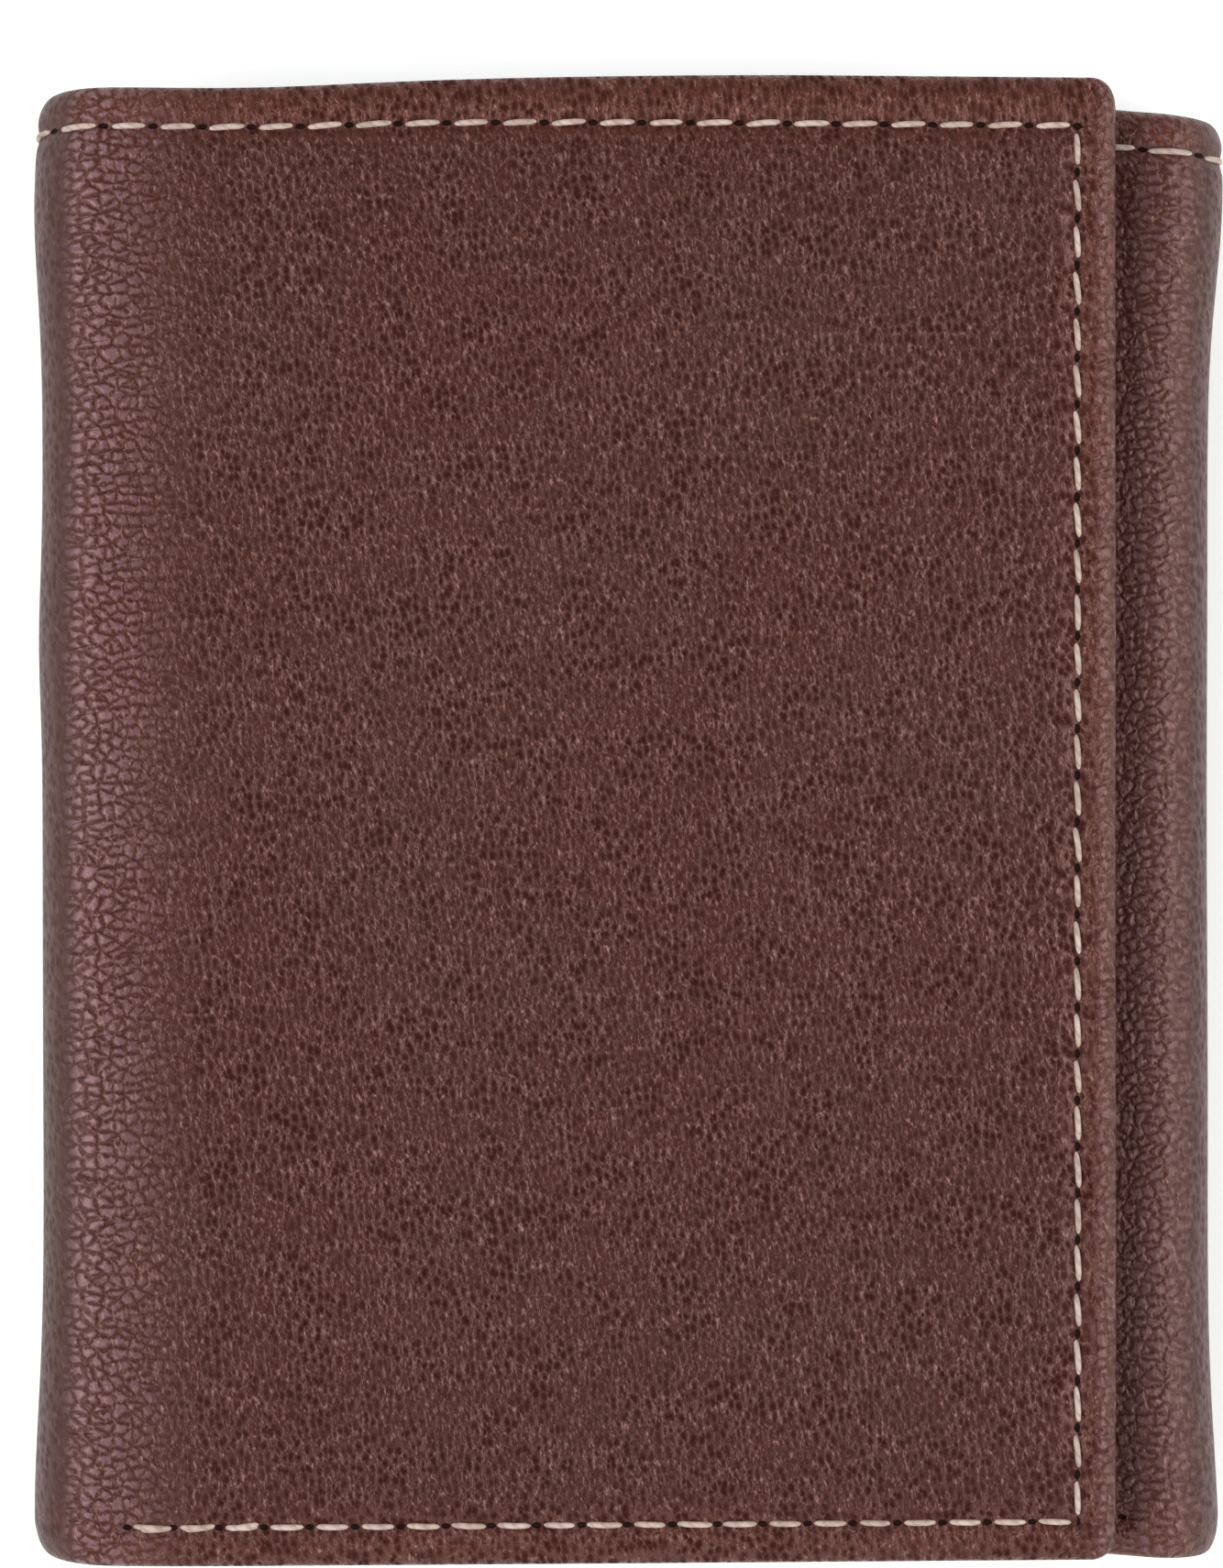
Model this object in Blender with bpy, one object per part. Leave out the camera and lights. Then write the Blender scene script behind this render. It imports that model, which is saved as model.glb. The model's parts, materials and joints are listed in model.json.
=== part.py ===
"""A trifold leather wallet, closed, lying on the back of its middle panel.

The shell folds round twice. The inner flap folds over the middle panel from the right, and the
cover flap folds over both from the left. Each fold is a narrow spine between two hinge lines.
Every layer follows the shell at its own depth: lining, note wall, then the card pockets.

+X runs across the closed wallet, towards the edge where the cover flap ends. +Y points to the open
edge of the note compartment, and +Z points up from the table.
"""

import math

import bmesh
import bpy
from mathutils import Vector

MM = 0.001

# Driving dimensions, in millimetres.
WIDTH = 84.5
HEIGHT = 106.0
LEFT_RISE = 17.5
RIGHT_RISE = 9.45
COVER_LENGTH = 77.2
INNER_LENGTH = 67.5
COVER_SLOPE = math.radians(2.25)
FOLD_RADIUS = 4.5
FREE_CORNER_RADIUS = 1.8
EDGE_ROUND = 0.35
FOLD_GAP = 0.15

# Depth of each layer below the outside of the leather: (outer face, inner face), in millimetres.
SHELL_DEPTH = (0.0, 1.0)
LINING_DEPTH = (1.1, 1.35)
NOTE_WALL_DEPTH = (1.65, 2.15)
BACKING_DEPTH = (2.25, 2.5)
CARD_SLOT_DEPTHS = ((2.6, 3.25), (3.35, 4.0), (4.1, 4.75))
WINDOW_DEPTH = (3.35, 3.6)
WINDOW_FRAME_DEPTH = (3.7, 4.4)

# How far each layer stays inside the shell's edges, and where its upper edge lies.
LINING_INSET = 1.0
POCKET_INSET = 0.6
POCKET_FOLD_INSET = 6.5
NOTE_WALL_TOP = 49.0
BACKING_TOP = 46.5
CARD_SLOT_TOPS = (42.0, 32.0, 22.0)
ID_SLOT_TOP = 40.0

# The identity window in the middle panel.
WINDOW_FRAME_TOP = 33.0
WINDOW_OPENING = (48.0, 70.0)
WINDOW_CENTRE_Y = -9.0
WINDOW_CORNER_RADIUS = 3.0
WINDOW_LAP = 4.0

# Seams.
SEAM_INSET = 2.9
SEAM_START = 6.2
POCKET_SEAM_INSET = 2.2
GROOVE_HALF_WIDTH = 0.45
GROOVE_DEPTH = 0.7
GROOVE_FLOOR = 0.4
POCKET_GROOVE_DEPTH = 0.52
STITCH_PITCH = 3.4
STITCH_RISE = 0.2
THREAD_RADIUS = 0.22
THREAD_DEPTHS = (0.42, 0.25)
POCKET_THREAD_RADIUS = 0.16
POCKET_THREAD_DEPTHS = (-0.34, -0.18)
STEP_OVER = (0.2, 0.9)

ARC_STEPS = 4
CORNER_ANGLES = (0, 30, 55, 75, 90)
NEUTRAL_RADIUS = FOLD_RADIUS - SHELL_DEPTH[1] / 2
TOP = HEIGHT / 2
SEAM_Y = TOP - SEAM_INSET

LEATHER = dict(colour=(0.095, 0.043, 0.036), roughness=0.42)
POCKET_LEATHER = dict(colour=(0.080, 0.037, 0.031), roughness=0.48)
FABRIC = dict(colour=(0.030, 0.022, 0.020), roughness=0.85)
THREAD = dict(colour=(0.55, 0.44, 0.29), roughness=0.7)
CLEAR_PLASTIC = dict(colour=(0.85, 0.87, 0.88), roughness=0.12, alpha=0.35)


class Panel:
    """One flat stretch of the shell, with a half fold at each end that has a turn.

    A point on it has a run, the distance along the unrolled leather, a y and a depth.
    """

    def __init__(self, origin, along, inward, length, start_turn=0.0, end_turn=0.0):
        self.origin = Vector(origin)
        self.along = Vector(along)
        self.inward = Vector(inward)
        self.turns = (start_turn, end_turn)
        self.start_flat = FOLD_RADIUS * math.tan(start_turn / 2)
        self.end_flat = length - FOLD_RADIUS * math.tan(end_turn / 2)

    def reach(self, depth):
        """The first and last run of a layer: its folds stop short of the next panel's."""
        trim = math.asin(FOLD_GAP / (FOLD_RADIUS - depth))
        spans = [NEUTRAL_RADIUS * (turn / 2 - trim) if turn else 0.0 for turn in self.turns]
        return self.start_flat - spans[0], self.end_flat + spans[1]

    def place(self, run, y, depth):
        """The world point at this run, y and depth, in millimetres."""
        if run < self.start_flat:
            corner, side = self.start_flat, -1
        elif run > self.end_flat:
            corner, side = self.end_flat, 1
        else:
            corner, side = run, 0
        angle = abs(run - corner) / NEUTRAL_RADIUS
        radius = FOLD_RADIUS - depth
        shift = corner + side * radius * math.sin(angle)
        sink = FOLD_RADIUS - radius * math.cos(angle)
        flat = self.origin + self.along * shift + self.inward * sink
        return Vector((flat.x, y, flat.y))

    def runs(self, first, last):
        """Stations from one run to another, with steps round the folds."""
        start_arc = [first + (self.start_flat - first) * k / ARC_STEPS for k in range(ARC_STEPS)]
        end_arc = [last + (self.end_flat - last) * k / ARC_STEPS for k in range(ARC_STEPS)]
        found = start_arc if first < self.start_flat else [first]
        found = found + [max(first, self.start_flat), min(last, self.end_flat)]
        found = found + (end_arc[::-1] if last > self.end_flat else [last])
        return sorted(set(round(run, 4) for run in found))


def fold_hinge_depth(turn):
    """Depth of a fold's axis below both outer faces, which keeps the leather's length unchanged."""
    half = turn / 2
    return SHELL_DEPTH[1] / 2 + NEUTRAL_RADIUS * (1 - half / math.tan(half))


SQUARE_TURN = math.pi / 2
COVER_TURN = SQUARE_TURN + COVER_SLOPE
LEFT = -WIDTH / 2
RIGHT = WIDTH / 2
SLOPE_COS = math.cos(COVER_SLOPE)
SLOPE_SIN = math.sin(COVER_SLOPE)

CENTRE = Panel((LEFT, 0), (1, 0), (0, 1), WIDTH, SQUARE_TURN, SQUARE_TURN)
LEFT_SPINE = Panel((LEFT, 0), (0, 1), (1, 0), LEFT_RISE, SQUARE_TURN, COVER_TURN)
COVER = Panel(
    (LEFT, LEFT_RISE), (SLOPE_COS, -SLOPE_SIN), (-SLOPE_SIN, -SLOPE_COS), COVER_LENGTH, COVER_TURN
)
RIGHT_SPINE = Panel((RIGHT, 0), (0, 1), (-1, 0), RIGHT_RISE, SQUARE_TURN, SQUARE_TURN)
INNER = Panel((RIGHT, RIGHT_RISE), (-1, 0), (0, -1), INNER_LENGTH, SQUARE_TURN)


def clear_scene():
    for obj in list(bpy.data.objects):
        bpy.data.objects.remove(obj, do_unlink=True)


def make_material(name, colour, roughness, alpha=1.0):
    material = bpy.data.materials.new(name)
    material.use_nodes = True
    shader = material.node_tree.nodes["Principled BSDF"]
    shader.inputs["Base Color"].default_value = (*colour, 1.0)
    shader.inputs["Roughness"].default_value = roughness
    shader.inputs["Metallic"].default_value = 0.0
    shader.inputs["Alpha"].default_value = alpha
    return material


def hinge_empty(name, x, z, parent=None):
    """An empty on a fold's axis. The pieces of the moving body hang from it."""
    empty = bpy.data.objects.new(name, None)
    empty.empty_display_size = 10 * MM
    bpy.context.scene.collection.objects.link(empty)
    empty.parent = parent
    anchor = parent["anchor"] if parent else (0.0, 0.0)
    empty.location = ((x - anchor[0]) * MM, 0.0, (z - anchor[1]) * MM)
    empty["anchor"] = (x, z)
    return empty


def add_object(name, data, finish, body):
    data.materials.append(make_material(name + "_finish", **finish))
    obj = bpy.data.objects.new(name, data)
    bpy.context.scene.collection.objects.link(obj)
    obj.parent = body
    return obj


def local_point(point, body):
    """A millimetre point in the wallet's frame, as metres from the body's empty."""
    anchor = body["anchor"]
    return Vector((point.x - anchor[0], point.y, point.z - anchor[1])) * MM


def loft(name, rings, finish, body):
    """A closed solid through rings that all have the same number of points."""
    mesh = bpy.data.meshes.new(name)
    shape = bmesh.new()
    rows = [[shape.verts.new(local_point(point, body)) for point in ring] for ring in rings]
    count = len(rows[0])
    for near, far in zip(rows, rows[1:]):
        for k in range(count):
            after = (k + 1) % count
            shape.faces.new((near[k], near[after], far[after], far[k]))
    shape.faces.new(rows[0][::-1])
    shape.faces.new(rows[-1])
    bmesh.ops.recalc_face_normals(shape, faces=shape.faces)
    shape.to_mesh(mesh)
    shape.free()
    mesh.shade_smooth()
    mesh.set_sharp_from_angle(angle=math.radians(35))
    return add_object(name, mesh, finish, body)


def free_edge_runs(end):
    """Stations near a free edge, close enough to round its corners and its rim."""
    steps = [1 - math.cos(math.radians(angle)) for angle in CORNER_ANGLES]
    return {end - FREE_CORNER_RADIUS * step for step in steps} | {end - EDGE_ROUND}


def corner_inset(run, end):
    """How far the rounded corner has drawn the edges in at this run."""
    into = run - (end - FREE_CORNER_RADIUS)
    if into <= 0:
        return 0.0
    return FREE_CORNER_RADIUS - math.sqrt(max(FREE_CORNER_RADIUS**2 - into**2, 0.0))


def groove_runs(middle):
    """Stations at the brim and the floor on both sides of a groove."""
    return {middle + side * width for side in (-1, 1) for width in (GROOVE_HALF_WIDTH, GROOVE_FLOOR)}


def plain_section(low, high, depth, rounding):
    """The outline of a flat layer across its height: (y, depth) points with cut corners."""
    outer, inner = depth
    return [
        (low, outer + rounding),
        (low + rounding, outer),
        (high - rounding, outer),
        (high, outer + rounding),
        (high, inner - rounding),
        (high - rounding, inner),
        (low + rounding, inner),
        (low, inner - rounding),
    ]


def seam_section(lower, between, upper):
    """The outer face's points at the lower and upper seams, for the grooves' depths there."""
    return [
        (-SEAM_Y - GROOVE_HALF_WIDTH, 0.0),
        (-SEAM_Y - GROOVE_FLOOR, lower),
        (-SEAM_Y + GROOVE_FLOOR, lower),
        (-SEAM_Y + GROOVE_HALF_WIDTH, between),
        (SEAM_Y - GROOVE_HALF_WIDTH, between),
        (SEAM_Y - GROOVE_FLOOR, upper),
        (SEAM_Y + GROOVE_FLOOR, upper),
        (SEAM_Y + GROOVE_HALF_WIDTH, 0.0),
    ]


def shell(name, panel, body, has_lower_seam, free_end=None):
    """The outer leather of a panel. Its grooves hold the seams' thread."""
    first, last = panel.reach(SHELL_DEPTH[1] / 2)
    last = free_end or last
    edge_seam = last - SEAM_INSET if free_end else None
    lower_ends = (SEAM_START, edge_seam or last - (SEAM_START - first))

    runs = set(panel.runs(first, last))
    if has_lower_seam:
        runs |= groove_runs(lower_ends[0]) | groove_runs(lower_ends[1])
    if free_end:
        runs |= free_edge_runs(last)

    rings = []
    for run in sorted(runs):
        upper_on = not free_end or run < edge_seam + GROOVE_HALF_WIDTH
        past_ends = [abs(run - middle) < GROOVE_HALF_WIDTH for middle in lower_ends]
        lower_on = has_lower_seam and (lower_ends[0] < run < lower_ends[1] or any(past_ends))
        edge_on = free_end and abs(run - edge_seam) < GROOVE_HALF_WIDTH
        grooves = [GROOVE_DEPTH if on else 0.0 for on in (lower_on, edge_on, upper_on)]
        inset = corner_inset(run, last) if free_end else 0.0
        section = plain_section(-TOP + inset, TOP - inset, SHELL_DEPTH, EDGE_ROUND)
        section = section[:2] + seam_section(*grooves) + section[2:]
        if free_end and run == last:
            rim = (SHELL_DEPTH[0] + EDGE_ROUND, SHELL_DEPTH[1] - EDGE_ROUND)
            section = [(y, min(max(sink, rim[0]), rim[1])) for y, sink in section]
        rings.append([panel.place(run, y, sink) for y, sink in section])
    return loft(name, rings, LEATHER, body)


def layer(name, panel, body, depth, low, high, first, last, finish):
    """A flat or folded sheet under the shell, between two runs and two heights."""
    rounding = (depth[1] - depth[0]) / 4
    rings = []
    for run in panel.runs(first, last):
        section = plain_section(low, high, depth, rounding)
        rings.append([panel.place(run, y, sink) for y, sink in section])
    return loft(name, rings, finish, body)


def pocket_sheet(name, panel, body, depth, high, seams):
    """A pocket's leather, grooved on its inner face where the pocket seam goes down, along and up."""
    low = -TOP + POCKET_INSET
    first, last = POCKET_FOLD_INSET, seams[1] + (SEAM_INSET - POCKET_INSET)
    rounding = (depth[1] - depth[0]) / 6
    face, floor = depth[1], depth[1] - POCKET_GROOVE_DEPTH
    rings = []
    for run in sorted({first, last} | groove_runs(seams[0]) | groove_runs(seams[1])):
        lower_on = seams[0] - GROOVE_HALF_WIDTH < run < seams[1] + GROOVE_HALF_WIDTH
        upright_on = min(abs(run - seam) for seam in seams) < GROOVE_HALF_WIDTH
        lower = floor if lower_on else face
        upright = floor if upright_on else face
        section = plain_section(low, high, depth, rounding)
        section[4] = (high, min(upright, face - rounding))
        section[5] = (high - rounding, upright)
        section[6:6] = [
            (-SEAM_Y + GROOVE_HALF_WIDTH, upright),
            (-SEAM_Y + GROOVE_FLOOR, lower),
            (-SEAM_Y - GROOVE_FLOOR, lower),
            (-SEAM_Y - GROOVE_HALF_WIDTH, face),
        ]
        rings.append([panel.place(run, y, sink) for y, sink in section])
    return loft(name, rings, POCKET_LEATHER, body)


def seam_thread(name, panel, body, legs, depths=THREAD_DEPTHS, radius=THREAD_RADIUS):
    """A thread that rises for each stitch and dips to the next hole.

    A leg is (first point, last point, depth of the face it lies on), with points as (run, y).
    """
    low, high = depths
    path = []
    for (run_a, y_a), (run_b, y_b), face in legs:
        stitches = max(1, round(math.hypot(run_b - run_a, y_b - y_a) / STITCH_PITCH))
        for stitch in range(stitches):
            for part, depth in ((0, low), (STITCH_RISE, high), (1 - STITCH_RISE, high)):
                share = (stitch + part) / stitches
                run = run_a + (run_b - run_a) * share
                path.append(panel.place(run, y_a + (y_b - y_a) * share, face + depth))
        path.append(panel.place(run_b, y_b, face + low))

    curve = bpy.data.curves.new(name, "CURVE")
    curve.dimensions = "3D"
    curve.bevel_depth = radius * MM
    curve.bevel_resolution = 1
    curve.use_fill_caps = True
    distinct = [path[0]] + [b for a, b in zip(path, path[1:]) if (a - b).length > radius / 10]
    spline = curve.splines.new("POLY")
    spline.points.add(len(distinct) - 1)
    for point, place in zip(spline.points, distinct):
        point.co = (*local_point(place, body), 1.0)
    return add_object(name, curve, THREAD, body)


def pocket_thread(name, panel, body, seams, faces):
    """The thread seen on the pockets: down one side, along the bottom and up the other.

    A face is (its upper edge, its depth), from the nearest pocket to the furthest. Where a pocket
    ends, the thread steps over its edge to the one behind.
    """
    before, after = STEP_OVER
    spans = []
    low = -SEAM_Y
    for top, face in faces:
        spans.append((low, top + before, face))
        low = top + after
    spans[-1] = (spans[-1][0], faces[-1][0] - after, spans[-1][2])

    down = [((seams[0], high), (seams[0], low), face) for low, high, face in reversed(spans)]
    along = [((seams[0], -SEAM_Y), (seams[1], -SEAM_Y), faces[0][1])]
    up = [((seams[1], low), (seams[1], high), face) for low, high, face in spans]
    legs = down + along + up
    return seam_thread(name, panel, body, legs, POCKET_THREAD_DEPTHS, POCKET_THREAD_RADIUS)


def panel_layers(prefix, panel, body, free_end=None):
    """The lining and the note compartment's inner wall, which run on round the folds."""
    for part, depth, top, finish in (
        ("lining", LINING_DEPTH, TOP - LINING_INSET, FABRIC),
        ("note_wall", NOTE_WALL_DEPTH, NOTE_WALL_TOP, POCKET_LEATHER),
    ):
        first, last = panel.reach(sum(depth) / 2)
        last = free_end - LINING_INSET if free_end else last
        low = -TOP + LINING_INSET
        layer(f"{prefix}_{part}", panel, body, depth, low, top, first, last, finish)


def card_pockets(prefix, panel, body, free_end):
    """A backing sheet, three card slots, each lower and nearer than the one behind, and their seam."""
    seams = (POCKET_FOLD_INSET + POCKET_SEAM_INSET, free_end - SEAM_INSET)
    low, last = -TOP + POCKET_INSET, free_end - POCKET_INSET
    name = f"{prefix}_pocket_backing"
    layer(name, panel, body, BACKING_DEPTH, low, BACKING_TOP, POCKET_FOLD_INSET, last, FABRIC)
    for number, (depth, top) in enumerate(zip(CARD_SLOT_DEPTHS, CARD_SLOT_TOPS), start=1):
        pocket_sheet(f"{prefix}_card_slot_{number}", panel, body, depth, top, seams)
    faces = [(top, depth[1]) for depth, top in zip(CARD_SLOT_DEPTHS, CARD_SLOT_TOPS)]
    pocket_thread(f"{prefix}_pocket_thread", panel, body, seams, faces[::-1])


def window_cutter(body):
    """The window's opening: a box with round corners, which passes through the frame."""
    mesh = bpy.data.meshes.new("window_cutter")
    shape = bmesh.new()
    bmesh.ops.create_cube(shape, size=1.0)
    depth = 2 * (WINDOW_FRAME_DEPTH[1] - WINDOW_FRAME_DEPTH[0])
    bmesh.ops.scale(shape, vec=Vector((*WINDOW_OPENING, depth)) * MM, verts=shape.verts)
    upright = [e for e in shape.edges if abs((e.verts[0].co - e.verts[1].co).z) > depth * MM / 2]
    bmesh.ops.bevel(
        shape, geom=upright, offset=WINDOW_CORNER_RADIUS * MM, segments=4, profile=0.5, affect="EDGES"
    )
    shape.to_mesh(mesh)
    shape.free()
    cutter = bpy.data.objects.new("window_cutter", mesh)
    bpy.context.scene.collection.objects.link(cutter)
    cutter.parent = body
    cutter.location = (0.0, WINDOW_CENTRE_Y * MM, sum(WINDOW_FRAME_DEPTH) / 2 * MM)
    cutter.hide_render = True
    cutter.display_type = "WIRE"
    return cutter


def identity_window(body):
    """The middle panel's slot, clear sheet, leather frame and seam."""
    low = -TOP + POCKET_INSET
    first, last = POCKET_FOLD_INSET, WIDTH - POCKET_FOLD_INSET
    name = "centre_pocket_backing"
    layer(name, CENTRE, body, BACKING_DEPTH, low, BACKING_TOP, first, last, FABRIC)
    seams = (first + SEAM_INSET - POCKET_INSET, last - SEAM_INSET + POCKET_INSET)
    slot_depth = CARD_SLOT_DEPTHS[0]
    pocket_sheet("centre_card_slot", CENTRE, body, slot_depth, ID_SLOT_TOP, seams)

    sheet_low, sheet_high = [
        WINDOW_CENTRE_Y + side * (WINDOW_OPENING[1] / 2 + WINDOW_LAP) for side in (-1, 1)
    ]
    sheet_first, sheet_last = [
        WIDTH / 2 + side * (WINDOW_OPENING[0] / 2 + WINDOW_LAP) for side in (-1, 1)
    ]
    edges = (sheet_low, sheet_high, sheet_first, sheet_last)
    layer("id_window", CENTRE, body, WINDOW_DEPTH, *edges, CLEAR_PLASTIC)

    frame = pocket_sheet("id_window_frame", CENTRE, body, WINDOW_FRAME_DEPTH, WINDOW_FRAME_TOP, seams)
    opening = frame.modifiers.new("opening", "BOOLEAN")
    opening.operation = "DIFFERENCE"
    opening.object = window_cutter(body)
    faces = [(WINDOW_FRAME_TOP, WINDOW_FRAME_DEPTH[1]), (ID_SLOT_TOP, slot_depth[1])]
    pocket_thread("centre_pocket_thread", CENTRE, body, seams, faces)


def upper_seam(name, panel, body):
    """The part of the upper seam that crosses a panel from fold to fold."""
    first, last = panel.reach(THREAD_DEPTHS[0])
    ends = (first + THREAD_RADIUS, SEAM_Y), (last - THREAD_RADIUS, SEAM_Y)
    seam_thread(name, panel, body, [(*ends, 0.0)])


def lower_seam(name, panel, body):
    """The middle panel's lower seam, which stops short of both folds."""
    first, last = panel.reach(SHELL_DEPTH[1] / 2)
    ends = (SEAM_START, -SEAM_Y), (last - (SEAM_START - first), -SEAM_Y)
    seam_thread(name, panel, body, [(*ends, 0.0)])


def flap_seam(name, panel, body, free_end):
    """The seam round a flap's upper edge, free edge and lower edge."""
    start = panel.reach(THREAD_DEPTHS[0])[0] + THREAD_RADIUS
    edge = free_end - SEAM_INSET
    corners = [(start, SEAM_Y), (edge, SEAM_Y), (edge, -SEAM_Y), (SEAM_START, -SEAM_Y)]
    seam_thread(name, panel, body, [(a, b, 0.0) for a, b in zip(corners, corners[1:])])


def main():
    clear_scene()
    square = fold_hinge_depth(SQUARE_TURN)
    slanted = fold_hinge_depth(COVER_TURN)
    centre = hinge_empty("centre_body", 0.0, 0.0)
    left_spine = hinge_empty("left_spine_hinge", LEFT + square, square, centre)
    cover_hinge_z = LEFT_RISE - slanted * (1 + SLOPE_SIN) / SLOPE_COS * SLOPE_SIN - slanted * SLOPE_COS
    cover = hinge_empty("cover_flap_hinge", LEFT + slanted, cover_hinge_z, left_spine)
    right_spine = hinge_empty("right_spine_hinge", RIGHT - square, square, centre)
    inner = hinge_empty("inner_flap_hinge", RIGHT - square, RIGHT_RISE - square, right_spine)

    shell("centre_shell", CENTRE, centre, has_lower_seam=True)
    shell("left_spine_shell", LEFT_SPINE, left_spine, has_lower_seam=False)
    shell("cover_shell", COVER, cover, has_lower_seam=True, free_end=COVER_LENGTH)
    shell("right_spine_shell", RIGHT_SPINE, right_spine, has_lower_seam=False)
    shell("inner_shell", INNER, inner, has_lower_seam=True, free_end=INNER_LENGTH)

    panel_layers("centre", CENTRE, centre)
    panel_layers("left_spine", LEFT_SPINE, left_spine)
    panel_layers("cover", COVER, cover, COVER_LENGTH)
    panel_layers("right_spine", RIGHT_SPINE, right_spine)
    panel_layers("inner", INNER, inner, INNER_LENGTH)

    identity_window(centre)
    card_pockets("cover", COVER, cover, COVER_LENGTH)
    card_pockets("inner", INNER, inner, INNER_LENGTH)

    upper_seam("centre_upper_thread", CENTRE, centre)
    upper_seam("left_spine_thread", LEFT_SPINE, left_spine)
    upper_seam("right_spine_thread", RIGHT_SPINE, right_spine)
    lower_seam("centre_lower_thread", CENTRE, centre)
    flap_seam("cover_thread", COVER, cover, COVER_LENGTH)
    flap_seam("inner_thread", INNER, inner, INNER_LENGTH)


main()
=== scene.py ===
"""Looks of the trifold wallet: grained leather, lockstitched seams, pockets, lining and window.

Every sheet of the wallet follows one path round its two folds. A point on a sheet has a run, the
distance in millimetres along the unrolled wallet from the cover flap's free edge to the inner
flap's, a height y across the wallet, and a depth below the outside of the leather.
"""

import json
import math

import bpy
import numpy as np
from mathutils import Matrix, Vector


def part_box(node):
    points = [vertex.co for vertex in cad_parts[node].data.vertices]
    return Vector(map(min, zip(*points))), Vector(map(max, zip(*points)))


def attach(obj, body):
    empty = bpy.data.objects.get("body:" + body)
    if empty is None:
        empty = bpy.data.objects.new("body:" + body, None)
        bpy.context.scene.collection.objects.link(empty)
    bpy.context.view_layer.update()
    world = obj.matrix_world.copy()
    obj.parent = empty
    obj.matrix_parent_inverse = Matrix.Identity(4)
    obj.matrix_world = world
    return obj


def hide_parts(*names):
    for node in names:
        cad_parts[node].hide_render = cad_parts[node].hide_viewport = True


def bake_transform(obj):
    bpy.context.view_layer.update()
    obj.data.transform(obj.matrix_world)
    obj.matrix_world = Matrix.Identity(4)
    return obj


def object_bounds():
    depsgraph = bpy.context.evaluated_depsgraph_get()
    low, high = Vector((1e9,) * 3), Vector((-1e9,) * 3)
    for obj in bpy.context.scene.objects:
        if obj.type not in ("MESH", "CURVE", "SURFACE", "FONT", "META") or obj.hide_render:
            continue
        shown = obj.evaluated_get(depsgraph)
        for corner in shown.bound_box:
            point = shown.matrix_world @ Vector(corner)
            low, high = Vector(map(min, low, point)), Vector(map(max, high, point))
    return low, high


MM = 0.001

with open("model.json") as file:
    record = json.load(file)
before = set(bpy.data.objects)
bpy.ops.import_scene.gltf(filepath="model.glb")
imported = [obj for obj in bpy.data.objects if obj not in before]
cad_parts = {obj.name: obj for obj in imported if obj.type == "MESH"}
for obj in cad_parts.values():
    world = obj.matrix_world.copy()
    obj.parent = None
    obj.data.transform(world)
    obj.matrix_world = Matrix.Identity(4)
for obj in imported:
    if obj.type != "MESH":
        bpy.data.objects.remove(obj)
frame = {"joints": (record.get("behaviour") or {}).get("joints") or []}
CAD_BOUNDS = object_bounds()

# --- Sizes from the frame, in millimetres ---


def box_mm(node):
    """A CAD node's lowest and highest corner, in millimetres."""
    low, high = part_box(node)
    return low / MM, high / MM


JOINTS = {joint["name"]: joint for joint in frame["joints"]}
SLOPE = math.radians(JOINTS["cover_flap_fold"]["range_deg"][1] - 90)
LEFT = CAD_BOUNDS[0].x / MM
RIGHT = CAD_BOUNDS[1].x / MM
TOP = CAD_BOUNDS[1].y / MM
COVER_LENGTH = (box_mm("cover_shell")[1].x - LEFT) / math.cos(SLOPE)
INNER_LENGTH = RIGHT - box_mm("inner_shell")[0].x
RIGHT_RISE = box_mm("inner_shell")[1].z
COVER_HINGE = [value / MM for value in JOINTS["cover_flap_fold"]["pos_m"]]
HINGE_DEPTH = COVER_HINGE[0] - LEFT
LEFT_RISE = (
    COVER_HINGE[2]
    + HINGE_DEPTH * (1 + math.sin(SLOPE)) * math.tan(SLOPE)
    + HINGE_DEPTH * math.cos(SLOPE)
)

# The layers, as in the CAD model: depths below the outside of the leather.
FOLD_RADIUS = 4.5
LEATHER_THICKNESS = 1.0
NEUTRAL_RADIUS = FOLD_RADIUS - LEATHER_THICKNESS / 2
LINING = (1.1, 1.35)
NOTE_WALL = (1.65, 2.15)
BACKING = (2.25, 2.5)
SLOTS = ((2.6, 3.25), (3.35, 4.0), (4.1, 4.75))
SLOT_TOPS = (42.0, 32.0, 22.0)
WINDOW = (3.35, 3.6)
WINDOW_FRAME = (3.7, 4.4)
ID_SLOT_TOP = 40.0
BACKING_TOP = 46.5
WINDOW_FRAME_TOP = 33.0
WINDOW_OPENING = (48.0, 70.0)
WINDOW_CENTRE_Y = -9.0
WINDOW_CORNER_RADIUS = 3.0
WINDOW_LAP = 4.0
LINING_INSET = 1.0
POCKET_INSET = 0.6
SEAM_INSET = 2.9
SEAM_Y = TOP - SEAM_INSET
SEAM_START = 6.2
POCKET_FOLD_INSET = 6.5

# --- The path round the folds ---


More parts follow.
